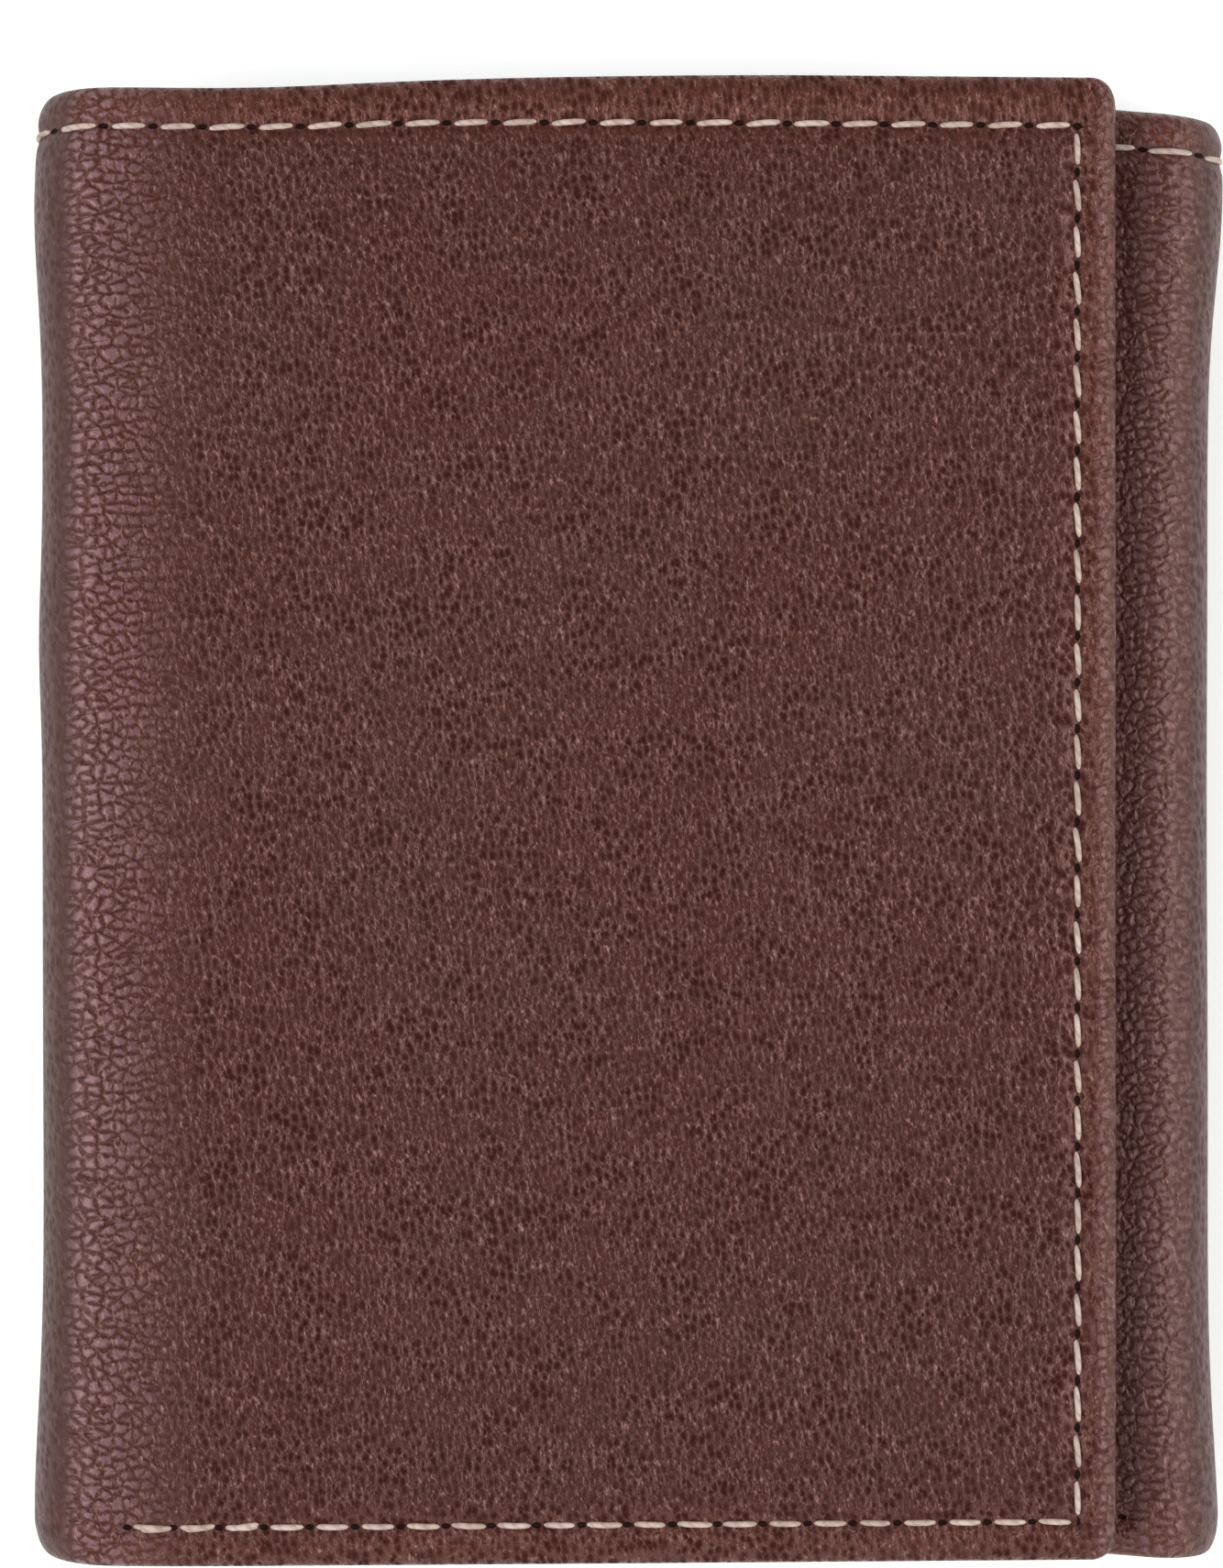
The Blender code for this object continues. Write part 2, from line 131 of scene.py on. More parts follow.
def walk_path():
    """The path's stretches: (first run, last run, start point, heading, turn), flat or bent."""
    cover_flat = COVER_LENGTH - FOLD_RADIUS * math.tan((math.pi / 2 + SLOPE) / 2)
    spine_flat = LEFT_RISE - FOLD_RADIUS * (1 + math.tan((math.pi / 2 + SLOPE) / 2))
    plan = [
        (cover_flat, 0.0),
        (None, math.pi / 2 + SLOPE),
        (spine_flat, 0.0),
        (None, math.pi / 2),
        (RIGHT - LEFT - 2 * FOLD_RADIUS, 0.0),
        (None, math.pi / 2),
        (RIGHT_RISE - 2 * FOLD_RADIUS, 0.0),
        (None, math.pi / 2),
        (INNER_LENGTH - FOLD_RADIUS, 0.0),
    ]
    point = np.array(
        [LEFT + COVER_LENGTH * math.cos(SLOPE), LEFT_RISE - COVER_LENGTH * math.sin(SLOPE)]
    )
    heading = math.pi - SLOPE
    run = 0.0
    stretches = []
    for length, turn in plan:
        length = NEUTRAL_RADIUS * turn if turn else length
        stretches.append((run, run + length, point, heading, turn))
        inward = np.array([-math.sin(heading), math.cos(heading)])
        if turn:
            centre = point + inward * FOLD_RADIUS
            heading += turn
            inward = np.array([-math.sin(heading), math.cos(heading)])
            point = centre - inward * FOLD_RADIUS
        else:
            point = point + length * np.array([math.cos(heading), math.sin(heading)])
        run += length
    return stretches


STRETCHES = walk_path()
COVER_FLAT, LEFT_UPPER, LEFT_FLAT, LEFT_LOWER, CENTRE_FLAT = STRETCHES[:5]
RIGHT_LOWER, RIGHT_FLAT, RIGHT_UPPER, INNER_FLAT = STRETCHES[5:]
PATH_END = INNER_FLAT[1]
LEFT_MIDDLE = (LEFT_FLAT[0] + LEFT_FLAT[1]) / 2
RIGHT_MIDDLE = (RIGHT_FLAT[0] + RIGHT_FLAT[1]) / 2
CENTRE_MIDDLE = (CENTRE_FLAT[0] + CENTRE_FLAT[1]) / 2


def path_frame(run):
    """The outer face's x and z and the inward direction's x and z at each run."""
    outer = np.zeros(run.shape + (2,))
    inward = np.zeros(run.shape + (2,))
    for number, (first, _, point, heading, turn) in enumerate(STRETCHES):
        here = (run >= first) | (number == 0)
        along = run[here] - first
        angle = heading + (along / NEUTRAL_RADIUS if turn else 0.0 * along)
        normal = np.stack([-np.sin(angle), np.cos(angle)], -1)
        if turn:
            start = np.array([-math.sin(heading), math.cos(heading)])
            outer[here] = point + start * FOLD_RADIUS - normal * FOLD_RADIUS
        else:
            ahead = np.array([math.cos(heading), math.sin(heading)])
            outer[here] = point + along[:, None] * ahead
        inward[here] = normal
    return outer, inward


# --- The leather's soft shape ---


# Each fold swells evenly, and flares further at places: (how far, at which y, how wide).
LEFT_SWELL = 0.32
LEFT_FLARES = ((0.85, 46, 10), (0.3, 13, 6), (0.8, -51, 11))
RIGHT_SWELL = 0.25
RIGHT_FLARES = ((1.35, 50, 12), (0.9, -54, 12))


def hump(value, centre, width):
    """1 at the centre and smoothly down to 0 on both sides."""
    return np.exp(-(((value - centre) / width) ** 2))


def ease(value, low, high):
    """0 below low, 1 above high and smooth between them."""
    share = np.clip((value - low) / (high - low), 0, 1)
    return share * share * (3 - 2 * share)


def swell(run, y, inward_z):
    """How far the sheets stand out from the CAD path: the folds flare at their ends."""
    left = LEFT_SWELL + sum(far * hump(y, centre, width) for far, centre, width in LEFT_FLARES)
    right = RIGHT_SWELL + sum(far * hump(y, centre, width) for far, centre, width in RIGHT_FLARES)
    flare = left * hump(run, LEFT_MIDDLE, 9) + right * hump(run, RIGHT_MIDDLE, 8)
    # Two shallow ripples that never line up, so that no face is quite flat.
    wave = 0.16 * np.sin(run / 9.7 + y / 23) * np.sin(y / 13.1 + 0.7)
    wave += 0.10 * np.sin(run / 5.3 - y / 8.9 + 1.3) * np.sin(y / 17.7)
    on_cover = ease(COVER_FLAT[1] - run, -8, 2)
    wave *= 0.8 * on_cover + 0.3 * (1 - on_cover)
    resting = np.clip(inward_z, 0, 1)
    return (flare + wave) * (1 - resting)


def draw_in(run, y):
    """The height of a point once the folds have drawn the upper and lower edges in."""
    left = hump(run, LEFT_MIDDLE, 8.5)
    right = hump(run, RIGHT_MIDDLE, 12)
    upper = 1.0 * left + 1.5 * right + 0.5 * hump(run, COVER_FLAT[1] - 8, 12)
    lower = 0.7 * left - 0.9 * right - 0.3
    brim = 0.7 * ease(CENTRE_MIDDLE - run, 60, 110)
    drawn = y - upper * ease(y, 25, TOP) + lower * ease(-y, 25, TOP)
    return drawn + brim * ease(y, SEAM_Y, TOP)


def place(run, y, depth):
    """World points in metres for arrays of run, y and depth."""
    run, y, depth = np.broadcast_arrays(
        np.asarray(run, float), np.asarray(y, float), np.asarray(depth, float)
    )
    outer, inward = path_frame(run)
    sink = depth - swell(run, y, inward[..., 1])
    flat = outer + inward * sink[..., None]
    return np.stack([flat[..., 0], draw_in(run, y), flat[..., 1]], -1) * MM


# --- Seams ---

UPPER_PITCH = 3.55
EDGE_PITCH = 3.34
LOWER_PITCH = 3.3
END_REACH = 0.6  # how far past a seam's last stitch its holes and pressed line carry on


def leg(start, end, pitch, slant):
    """A straight stretch of a seam from (run, y) to (run, y): a whole number of slanted stitches."""
    length = math.hypot(end[0] - start[0], end[1] - start[1])
    return start, end, max(1, round(length / pitch)), slant


FAR_FROM_SEAMS = 99.0
COVER_SEAM = SEAM_INSET
INNER_SEAM = PATH_END - SEAM_INSET
SEAM_LEGS = [
    leg((COVER_SEAM, SEAM_Y), (LEFT_MIDDLE, SEAM_Y), UPPER_PITCH, -0.09),
    leg((LEFT_MIDDLE, SEAM_Y), (CENTRE_MIDDLE, SEAM_Y), UPPER_PITCH, -0.09),
    leg((CENTRE_MIDDLE, SEAM_Y), (RIGHT_MIDDLE, SEAM_Y), UPPER_PITCH, 0.09),
    leg((RIGHT_MIDDLE, SEAM_Y), (INNER_SEAM, SEAM_Y), UPPER_PITCH, -0.14),
    leg((COVER_SEAM, SEAM_Y), (COVER_SEAM, -SEAM_Y), EDGE_PITCH, -0.16),
    leg((INNER_SEAM, SEAM_Y), (INNER_SEAM, -SEAM_Y), EDGE_PITCH, -0.12),
    leg((COVER_SEAM, -SEAM_Y), (COVER_LENGTH - SEAM_START, -SEAM_Y), LOWER_PITCH, 0.05),
    leg((LEFT_LOWER[1] + 2, -SEAM_Y), (CENTRE_MIDDLE, -SEAM_Y), LOWER_PITCH, 0.08),
    leg((CENTRE_MIDDLE, -SEAM_Y), (RIGHT_LOWER[0] - 2, -SEAM_Y), LOWER_PITCH, 0.08),
    leg((RIGHT_UPPER[1] + 2, -SEAM_Y), (INNER_SEAM, -SEAM_Y), LOWER_PITCH, 0.08),
]


def seam_coordinates(run, y, legs):
    """For each point: how far it is across from its nearest seam, and how many stitches along."""
    best = np.full(run.shape, np.inf)
    across = np.full(run.shape, FAR_FROM_SEAMS)
    along = np.zeros(run.shape)
    for start, end, stitches, _ in legs:
        ahead = np.array(end) - np.array(start)
        length = np.hypot(*ahead)
        ahead = ahead / length
        from_start = (run - start[0]) * ahead[0] + (y - start[1]) * ahead[1]
        aside = -(run - start[0]) * ahead[1] + (y - start[1]) * ahead[0]
        outside = np.maximum(np.maximum(-from_start, from_start - length), 0)
        distance = np.hypot(aside, outside)
        nearer = distance < best - 1e-9
        best = np.where(nearer, distance, best)
        signed = np.copysign(np.hypot(aside, np.maximum(outside - END_REACH, 0)), aside)
        across = np.where(nearer, signed, across)
        along = np.where(nearer, from_start / length * stitches, along)
    return across, along


# --- Mesh builders ---


def lines(first, last, spacing, extra=()):
    """Even grid lines from first to last, with more of them wherever extra asks."""
    count = max(2, int(round((last - first) / spacing)) + 1)
    found = np.concatenate([np.linspace(first, last, count), np.asarray(extra, float)])
    found = np.unique(np.round(found[(found >= first - 1e-9) & (found <= last + 1e-9)], 4))
    keep = [found[0]]
    for value in found[1:]:
        if value - keep[-1] > 0.02:
            keep.append(value)
    keep[-1] = found[-1]
    return np.array(keep)


# Distances from a free edge at which the grid has a line, close together where the rim is round.
RIM_STEPS = np.array([0.0, 0.02, 0.08, 0.18, 0.32, 0.5, 0.72, 0.98, 1.26, 1.6, 1.96, 2.4])


def sheet_mesh(name, runs, heights, outer, inner, walls, finish, legs=(), ring=False):
    """A sheet on a grid of (run, y) points, with an outer and an inner face at these depths.

    walls says which of its edges are closed: (first row, last row, first column, last column). An
    edge where the sheet carries on as another piece stays open, so that both pieces shade alike.
    The rows of a ring meet each other again.
    """
    outer_depth = outer(runs, heights)
    inner_depth = inner(runs, heights)
    points = [place(runs, heights, depth).reshape(-1, 3) for depth in (outer_depth, inner_depth)]
    rows, columns = runs.shape
    index = np.arange(rows * columns).reshape(rows, columns)
    index = np.concatenate([index, index[:1]]) if ring else index
    under = index + rows * columns
    quads = [
        np.stack([index[:-1, :-1], index[:-1, 1:], index[1:, 1:], index[1:, :-1]], -1),
        np.stack([under[:-1, :-1], under[1:, :-1], under[1:, 1:], under[:-1, 1:]], -1),
    ]
    quads = [block.reshape(-1, 4) for block in quads]
    edges = [
        (index[0, :], under[0, :], False),
        (index[-1, :], under[-1, :], True),
        (index[:, 0], under[:, 0], True),
        (index[:, -1], under[:, -1], False),
    ]
    for (near, far, flip), closed in zip(edges, walls):
        if closed:
            wall = np.stack([near[:-1], far[:-1], far[1:], near[1:]], -1)
            quads.append(wall[:, ::-1] if flip else wall)
    mesh = bpy.data.meshes.new(name)
    mesh.from_pydata(np.concatenate(points).tolist(), [], np.concatenate(quads).tolist())
    mesh.update()
    run, y = [np.concatenate([values.ravel()] * 2) for values in (runs, heights)]
    depth = np.concatenate([outer_depth.ravel(), inner_depth.ravel()])
    add_vector_attribute(mesh, "hide", run, y, depth)
    across, along = seam_coordinates(run, y, legs)
    add_vector_attribute(mesh, "seam", across, along, 0 * along)
    return finish_mesh(name, mesh, finish)


def add_vector_attribute(mesh, name, *parts):
    attribute = mesh.attributes.new(name, "FLOAT_VECTOR", "POINT")
    attribute.data.foreach_set("vector", np.stack(parts, -1).astype(np.float32).ravel())


def finish_mesh(name, mesh, finish):
    mesh.materials.append(finish)
    mesh.shade_smooth()
    obj = bpy.data.objects.new(name, mesh)
    bpy.context.scene.collection.objects.link(obj)
    return obj


def tube_mesh(name, paths, radius, finish, sides=8):
    """Separate round tubes, one through each path's points, as thick at each point as the path's radii
    say.
    """
    vertices, quads = [], []
    for path, radii in paths:
        path = np.asarray(path, float)
        ahead = np.gradient(path, axis=0)
        ahead /= np.linalg.norm(ahead, axis=1)[:, None]
        helper = np.where(np.abs(ahead[:, 2:3]) > 0.9, [[1.0, 0, 0]], [[0, 0, 1.0]])
        side = np.cross(ahead, helper)
        side /= np.linalg.norm(side, axis=1)[:, None]
        up = np.cross(side, ahead)
        turn = np.linspace(0, 2 * math.pi, sides, endpoint=False)
        ring = np.cos(turn)[None, :, None] * side[:, None] + np.sin(turn)[None, :, None] * up[:, None]
        points = path[:, None] + ring * (np.asarray(radii) * radius * MM)[:, None, None]
        first = len(vertices)
        for near in range(first, first + (len(path) - 1) * sides, sides):
            far = near + sides
            for j in range(sides):
                after = (j + 1) % sides
                quads.append((near + j, near + after, far + after, far + j))
        vertices.extend(points.reshape(-1, 3).tolist())
    mesh = bpy.data.meshes.new(name)
    mesh.from_pydata(vertices, [], quads)
    mesh.update()
    return finish_mesh(name, mesh, finish)


# --- Materials ---


class Nodes:
    """A short way to write a material's node tree."""

    def __init__(self, tree):
        self.tree = tree

    @classmethod
    def of_material(cls, name):
        material = bpy.data.materials.new(name)
        material.use_nodes = True
        nodes = cls(material.node_tree)
        nodes.material = material
        nodes.shader = material.node_tree.nodes["Principled BSDF"]
        return nodes

    def link(self, source, target):
        if isinstance(source, (int, float, tuple, list)):
            target.default_value = source
        else:
            self.tree.links.new(source, target)

    def node(self, kind, inputs=None, **settings):
        found = self.tree.nodes.new(kind)
        for key, value in settings.items():
            setattr(found, key, value)
        for key, value in (inputs or {}).items():
            self.link(value, found.inputs[key])
        return found

    def set(self, name, source):
        """Feed one input of the material's shader."""
        self.link(source, self.shader.inputs[name])

    def math(self, operation, *values):
        found = self.node("ShaderNodeMath", operation=operation)
        for value, target in zip(values, found.inputs):
            self.link(value, target)
        return found.outputs[0]

    def times(self, first, second):
        return self.math("MULTIPLY", first, second)

    def mix(self, share, first, second):
        found = self.node("ShaderNodeMix", data_type="RGBA")
        self.link(share, found.inputs[0])
        self.link(first, found.inputs[6])
        self.link(second, found.inputs[7])
        return found.outputs[2]

    def ramp(self, value, low, high, start=0.0, end=1.0):
        """A smooth step of value from low to high."""
        found = self.node("ShaderNodeMapRange", interpolation_type="SMOOTHSTEP")
        for item, target in zip((value, low, high, start, end), found.inputs):
            self.link(item, target)
        return found.outputs[0]

    def noise(self, vector, scale, detail=2.0, roughness=0.5):
        inputs = {"Vector": vector, "Scale": scale, "Detail": detail, "Roughness": roughness}
        return self.node("ShaderNodeTexNoise", inputs).outputs[0]

    def bump(self, height, distance, strength=1.0):
        inputs = {"Height": height, "Distance": distance, "Strength": strength}
        return self.node("ShaderNodeBump", inputs).outputs[0]

    def vector(self, x, y, z=0.0):
        found = self.node("ShaderNodeCombineXYZ")
        for item, target in zip((x, y, z), found.inputs):
            self.link(item, target)
        return found.outputs[0]

    def attribute(self, name):
        """The x, y and z of a point attribute, and the vector itself."""
        source = self.node("ShaderNodeAttribute", attribute_name=name).outputs["Vector"]
        parts = self.node("ShaderNodeSeparateXYZ", {"Vector": source})
        return parts.outputs[0], parts.outputs[1], parts.outputs[2], source


def linear(red, green, blue):
    """An 8-bit display colour as the linear colour that Blender takes."""
    parts = [value / 255 for value in (red, green, blue)]
    parts = [v / 12.92 if v <= 0.04045 else ((v + 0.055) / 1.055) ** 2.4 for v in parts]
    return (*parts, 1.0)


def cells(nodes, run, y, vector, width, height, slant=0.0, wobble=0.6):
    """Cell coordinates of this size in mm, leaning and wavering a little."""
    drift = nodes.node("ShaderNodeTexNoise", {"Vector": vector, "Scale": 0.9, "Detail": 2.0})
    shift = nodes.node("ShaderNodeSeparateXYZ", {"Vector": drift.outputs["Color"]})
    leaning = nodes.math("MULTIPLY_ADD", y, slant, run)
    across = nodes.math("MULTIPLY_ADD", shift.outputs[0], wobble, nodes.math("DIVIDE", leaning, width))
    up = nodes.math("MULTIPLY_ADD", shift.outputs[1], wobble, nodes.math("DIVIDE", y, height))
    return nodes.vector(across, up)


def voronoi(nodes, vector, feature, randomness=0.9):
    inputs = {"Vector": vector, "Scale": 1.0, "Randomness": randomness}
    return nodes.node("ShaderNodeTexVoronoi", inputs, feature=feature, voronoi_dimensions="2D")


def pitting(nodes, vector, small, large):
    """A soft-edged pit in each cell, between small and large shares of it, and its wide dimple."""
    near = voronoi(nodes, vector, "F1")
    tone = nodes.node("ShaderNodeSeparateXYZ", {"Vector": near.outputs["Color"]}).outputs[0]
    reach = nodes.ramp(tone, 0.0, 0.8, small, large)
    ragged = nodes.math("MULTIPLY_ADD", nodes.noise(vector, 3.2, 1.0), 0.4, near.outputs["Distance"])
    ragged = nodes.math("SUBTRACT", ragged, 0.2)
    mask = nodes.ramp(nodes.math("DIVIDE", ragged, reach), 0.2, 1.6, 1.0, 0.0)
    depth = nodes.ramp(tone, 0.0, 0.6, 0.6, 1.0)
    return mask, nodes.times(nodes.ramp(ragged, -0.1, 0.75, 1.0, 0.0), depth)


def pebbling(nodes, vector, crease):
    """Rounded pebbles that fill their cells, 0 in the creases between them and 1 on top."""
    edge = voronoi(nodes, vector, "DISTANCE_TO_EDGE", 1.0).outputs["Distance"]
    edge = nodes.math("MULTIPLY_ADD", nodes.noise(vector, 3.0, 1.0), 0.16, edge)
    edge = nodes.math("SUBTRACT", edge, 0.08)
    return nodes.ramp(edge, -0.05, 0.4), nodes.ramp(edge, 0.0, crease, 1.0, 0.0)


HOLE_HALF_LENGTH = 0.34
HOLE_HALF_WIDTH = 0.19


def stitch_holes(nodes, pitch):
    """Masks for the needle holes and the pressed line of a seam, from the seam attribute. The leathers
    paint shade into both.
    """
    across, along, _, _ = nodes.attribute("seam")
    phase = nodes.math("FRACT", nodes.math("ADD", along, 0.5))
    offset = nodes.times(nodes.math("SUBTRACT", phase, 0.5), pitch)
    long_way = nodes.math("DIVIDE", nodes.math("ABSOLUTE", offset), HOLE_HALF_LENGTH)
    long_way = nodes.math("POWER", long_way, 2.0)
    short_way = nodes.math("POWER", nodes.math("DIVIDE", across, HOLE_HALF_WIDTH), 2.0)
    holes = nodes.ramp(nodes.math("ADD", long_way, short_way), 0.5, 1.3, 1.0, 0.0)
    pressed = nodes.ramp(nodes.math("ABSOLUTE", across), 0.12, 0.6, 1.0, 0.0)
    return holes, pressed


RIDGE_BROWN = (58, 31, 24)
RIDGE_RED = (58, 26, 19)
RIDGE_LIGHT = (64, 36, 28)
RIDGE_RIM = (78, 38, 25)
# Painted highlight: the pale pink that the glinting flecks on the ridges are mixed towards.
FLECK_HIGHLIGHT = (134, 98, 90)
# Painted highlight: the lavender of the lit pebble tops round the folds.
PEBBLE_TOP_HIGHLIGHT = (130, 102, 108)
# Dark red of the pits. It also serves as painted shade in the hollows and towards the lower edge.
PIT_RED = (38, 7, 4)
# Painted shade: the dark brown of the pressed seam groove, the turn of the fold and the spine sides.
SHADE_BROWN = (46, 18, 14)
POCKET_BROWN = (68, 36, 27)
POCKET_DARK = (60, 30, 23)
# Painted shade: the near black of the needle holes.
HOLE_SHADE = (20, 10, 8)
SHEEN_TINT = (255, 216, 208)
PIT_CELL = (0.6, 0.84)
PEBBLE_CELL = (0.95, 0.76)


def shell_leather():
    """Brown pebbled leather: dark red pits between lighter ridges, and creases round the folds.
    Painted highlights on flecks and pebble tops, and painted shade in the hollows, on the spine sides
    and towards the lower edge.
    """
    nodes = Nodes.of_material("shell_leather")
    run, y, _, vector = nodes.attribute("hide")
    bend, spine, rim, _ = nodes.attribute("zone")
    holes, pressed = stitch_holes(nodes, UPPER_PITCH)
    cloud = nodes.noise(vector, 0.045, 3.0)
    patch = nodes.noise(vector, 0.3, 3.0)

    pit_cells = cells(nodes, run, y, vector, *PIT_CELL, slant=-0.14)
    pits, dimples = pitting(nodes, pit_cells, 0.24, 0.48)
    _, net = pebbling(nodes, pit_cells, 0.14)
    pebble_cells = cells(nodes, run, y, vector, *PEBBLE_CELL, wobble=0.6)
    domes, cracks = pebbling(nodes, pebble_cells, 0.16)
    lean = nodes.math("MULTIPLY_ADD", y, -0.22, run)
    streaks = nodes.vector(nodes.times(lean, 3.6), nodes.times(y, 1.5))
    flecks = nodes.noise(streaks, 1.0, 2.0, 0.6)
    fibres = nodes.vector(nodes.times(lean, 4.6), nodes.times(y, 2.0))
    fine = nodes.noise(fibres, 1.0, 2.0, 0.6)
    furrows = nodes.vector(nodes.times(run, 0.11), nodes.math("MULTIPLY_ADD", run, 0.22, y))
    furrow = nodes.math("ABSOLUTE", nodes.math("SUBTRACT", nodes.noise(furrows, 0.4, 2.0), 0.5))
    furrow = nodes.times(nodes.ramp(furrow, 0.0, 0.02, 0.8, 0.0), bend)
    furrow = nodes.times(furrow, nodes.math("LESS_THAN", run, CENTRE_MIDDLE))
    furrow = nodes.times(furrow, nodes.ramp(patch, 0.42, 0.6))

    smooth = nodes.math("MULTIPLY_ADD", spine, 0.5, bend)
    fade = nodes.ramp(smooth, 0.0, 0.9, 1.0, 0.0)
    strength = nodes.times(nodes.ramp(patch, 0.25, 0.65, 0.55, 1.0), fade)
    pit_depth = nodes.times(pits, strength)
    crack_depth = nodes.times(cracks, nodes.ramp(fine, 0.35, 0.6, 0.6, 0.18))
    crack_depth = nodes.times(crack_depth, bend)
    # Painted highlight: the tops of the pebbles in the bends are lightened in the colour, standing in
    # for the lamps' sheen on them.
    pebble_highlight = nodes.math("MULTIPLY_ADD", domes, 0.5, nodes.noise(vector, 2.6, 2.0, 0.7))
    pebble_highlight = nodes.times(nodes.ramp(pebble_highlight, 0.66, 1.0), nodes.math("POWER", bend, 1.8))
    grain_and_hollow_shade_mask = nodes.math("MAXIMUM", pit_depth, nodes.math("MAXIMUM", crack_depth, furrow))
    grain_and_hollow_shade_mask = nodes.math("MAXIMUM", grain_and_hollow_shade_mask, holes)

    ridge = nodes.mix(nodes.ramp(cloud, 0.35, 0.65), linear(*RIDGE_BROWN), linear(*RIDGE_RED))
    ridge = nodes.mix(nodes.ramp(patch, 0.35, 0.7, 0.0, 0.5), ridge, linear(*RIDGE_LIGHT))
    ridge = nodes.mix(nodes.times(rim, 0.6), ridge, linear(*RIDGE_RIM))
    # Painted shade: the ridges turn darker towards the lower edge, standing in for the lamps' light
    # falling off.
    falloff_shade = nodes.ramp(y, -40.0, 25.0, 0.2, 0.0)
    ridge = nodes.mix(falloff_shade, ridge, linear(*PIT_RED))
    # Partly the grain's own dark red and partly painted shade: pits, creases, furrows and needle holes
    # are darkened.
    colour = nodes.mix(nodes.times(grain_and_hollow_shade_mask, 0.72), ridge, linear(*PIT_RED))
    # Painted highlight: flecks on the ridges are lightened in the colour, standing in for glints of
    # the lamps.
    light = nodes.times(nodes.ramp(flecks, 0.56, 0.72), nodes.math("SUBTRACT", 1.0, grain_and_hollow_shade_mask))
    colour = nodes.mix(nodes.times(light, 0.7), colour, linear(*FLECK_HIGHLIGHT))
    colour = nodes.mix(nodes.ramp(fine, 0.3, 0.56, 0.55, 0.0), colour, linear(*PIT_RED))
    # Fine streaks with painted shade: the spine sides are darkened evenly in the colour, standing in
    # for their facing away from the lamps, and the streaks vary it.
    grained = nodes.vector(nodes.times(run, 3.0), nodes.times(y, 0.22))
    streaks_and_side_shade = nodes.ramp(nodes.noise(grained, 1.0, 3.0, 0.6), 0.35, 0.7)
    streaks_and_side_shade = nodes.times(nodes.math("MULTIPLY_ADD", streaks_and_side_shade, 0.35, 0.52), spine)
    colour = nodes.mix(streaks_and_side_shade, colour, linear(*SHADE_BROWN))
    # Painted shade: a dark line where the leather turns from each spine side onto the faces next to
    # it.
    turn = nodes.times(spine, nodes.math("SUBTRACT", 1.0, spine))
    colour = nodes.mix(nodes.times(turn, 2.6), colour, linear(*SHADE_BROWN))
    # Painted highlight on the pebble tops.
    colour = nodes.mix(nodes.times(pebble_highlight, 0.6), colour, linear(*PEBBLE_TOP_HIGHLIGHT))
    # Painted shade along the pressed seam groove.
    colour = nodes.mix(nodes.times(pressed, 0.4), colour, linear(*SHADE_BROWN))
    # Painted shade in the needle holes.
    colour = nodes.mix(nodes.times(holes, 0.95), colour, linear(*HOLE_SHADE))
    nodes.set("Base Color", colour)

    rough = nodes.math("MULTIPLY_ADD", grain_and_hollow_shade_mask, 0.3, 0.26)
    rough = nodes.math("MULTIPLY_ADD", bend, 0.06, rough)
    rough = nodes.math("MULTIPLY_ADD", fine, 0.1, rough)
    nodes.set("Roughness", nodes.math("MULTIPLY_ADD", spine, 0.12, rough))
    nodes.set("Specular IOR Level", nodes.math("MULTIPLY_ADD", grain_and_hollow_shade_mask, -0.44, 0.5))
    nodes.set("Specular Tint", linear(*SHEEN_TINT))

    height = nodes.times(nodes.times(dimples, strength), -0.15)
    height = nodes.math("MULTIPLY_ADD", nodes.times(domes, bend), 0.11, height)
    height = nodes.math("MULTIPLY_ADD", flecks, nodes.math("MULTIPLY_ADD", fade, 0.06, 0.02), height)
    height = nodes.math("MULTIPLY_ADD", fine, 0.035, height)
    height = nodes.math("MULTIPLY_ADD", furrow, -0.08, height)
    height = nodes.math("MULTIPLY_ADD", holes, -0.5, height)
    height = nodes.math("MULTIPLY_ADD", nodes.times(net, rim), -0.03, height)
    nodes.set("Normal", nodes.bump(height, MM))
    return nodes.material


def pocket_leather():
    """The smoother, finer leather of the pockets and the note compartment's wall."""
    nodes = Nodes.of_material("pocket_leather")
    run, y, _, vector = nodes.attribute("hide")
    holes, pressed = stitch_holes(nodes, EDGE_PITCH)
    pits, _ = pitting(nodes, cells(nodes, run, y, vector, 0.6, 0.66), 0.14, 0.36)
    domes, cracks = pebbling(nodes, cells(nodes, run, y, vector, 0.9, 0.9), 0.1)
    cloud = nodes.noise(vector, 0.06, 3.0)
    fine = nodes.noise(vector, 3.0, 2.0)
    ridge = nodes.mix(nodes.ramp(cloud, 0.35, 0.65), linear(*POCKET_BROWN), linear(*POCKET_DARK))
    mask = nodes.math("MAXIMUM", nodes.times(pits, 0.5), nodes.times(cracks, 0.3))
    # Partly the grain's own dark red and partly painted shade in the pits and creases.
    colour = nodes.mix(mask, ridge, linear(*PIT_RED))
    # Painted shade along the pressed seam groove.
    colour = nodes.mix(nodes.times(pressed, 0.3), colour, linear(*SHADE_BROWN))
    # Painted shade in the needle holes.
    colour = nodes.mix(nodes.times(holes, 0.9), colour, linear(*HOLE_SHADE))
    nodes.set("Base Color", colour)
    nodes.set("Roughness", nodes.math("MULTIPLY_ADD", mask, 0.2, 0.42))
    nodes.set("Specular Tint", linear(*SHEEN_TINT))
    height = nodes.math("MULTIPLY_ADD", mask, -0.05, nodes.times(fine, 0.03))
    height = nodes.math("MULTIPLY_ADD", domes, 0.02, height)
    height = nodes.math("MULTIPLY_ADD", holes, -0.4, height)
    nodes.set("Normal", nodes.bump(height, MM))
    return nodes.material


WEAVE_PITCH = 0.36


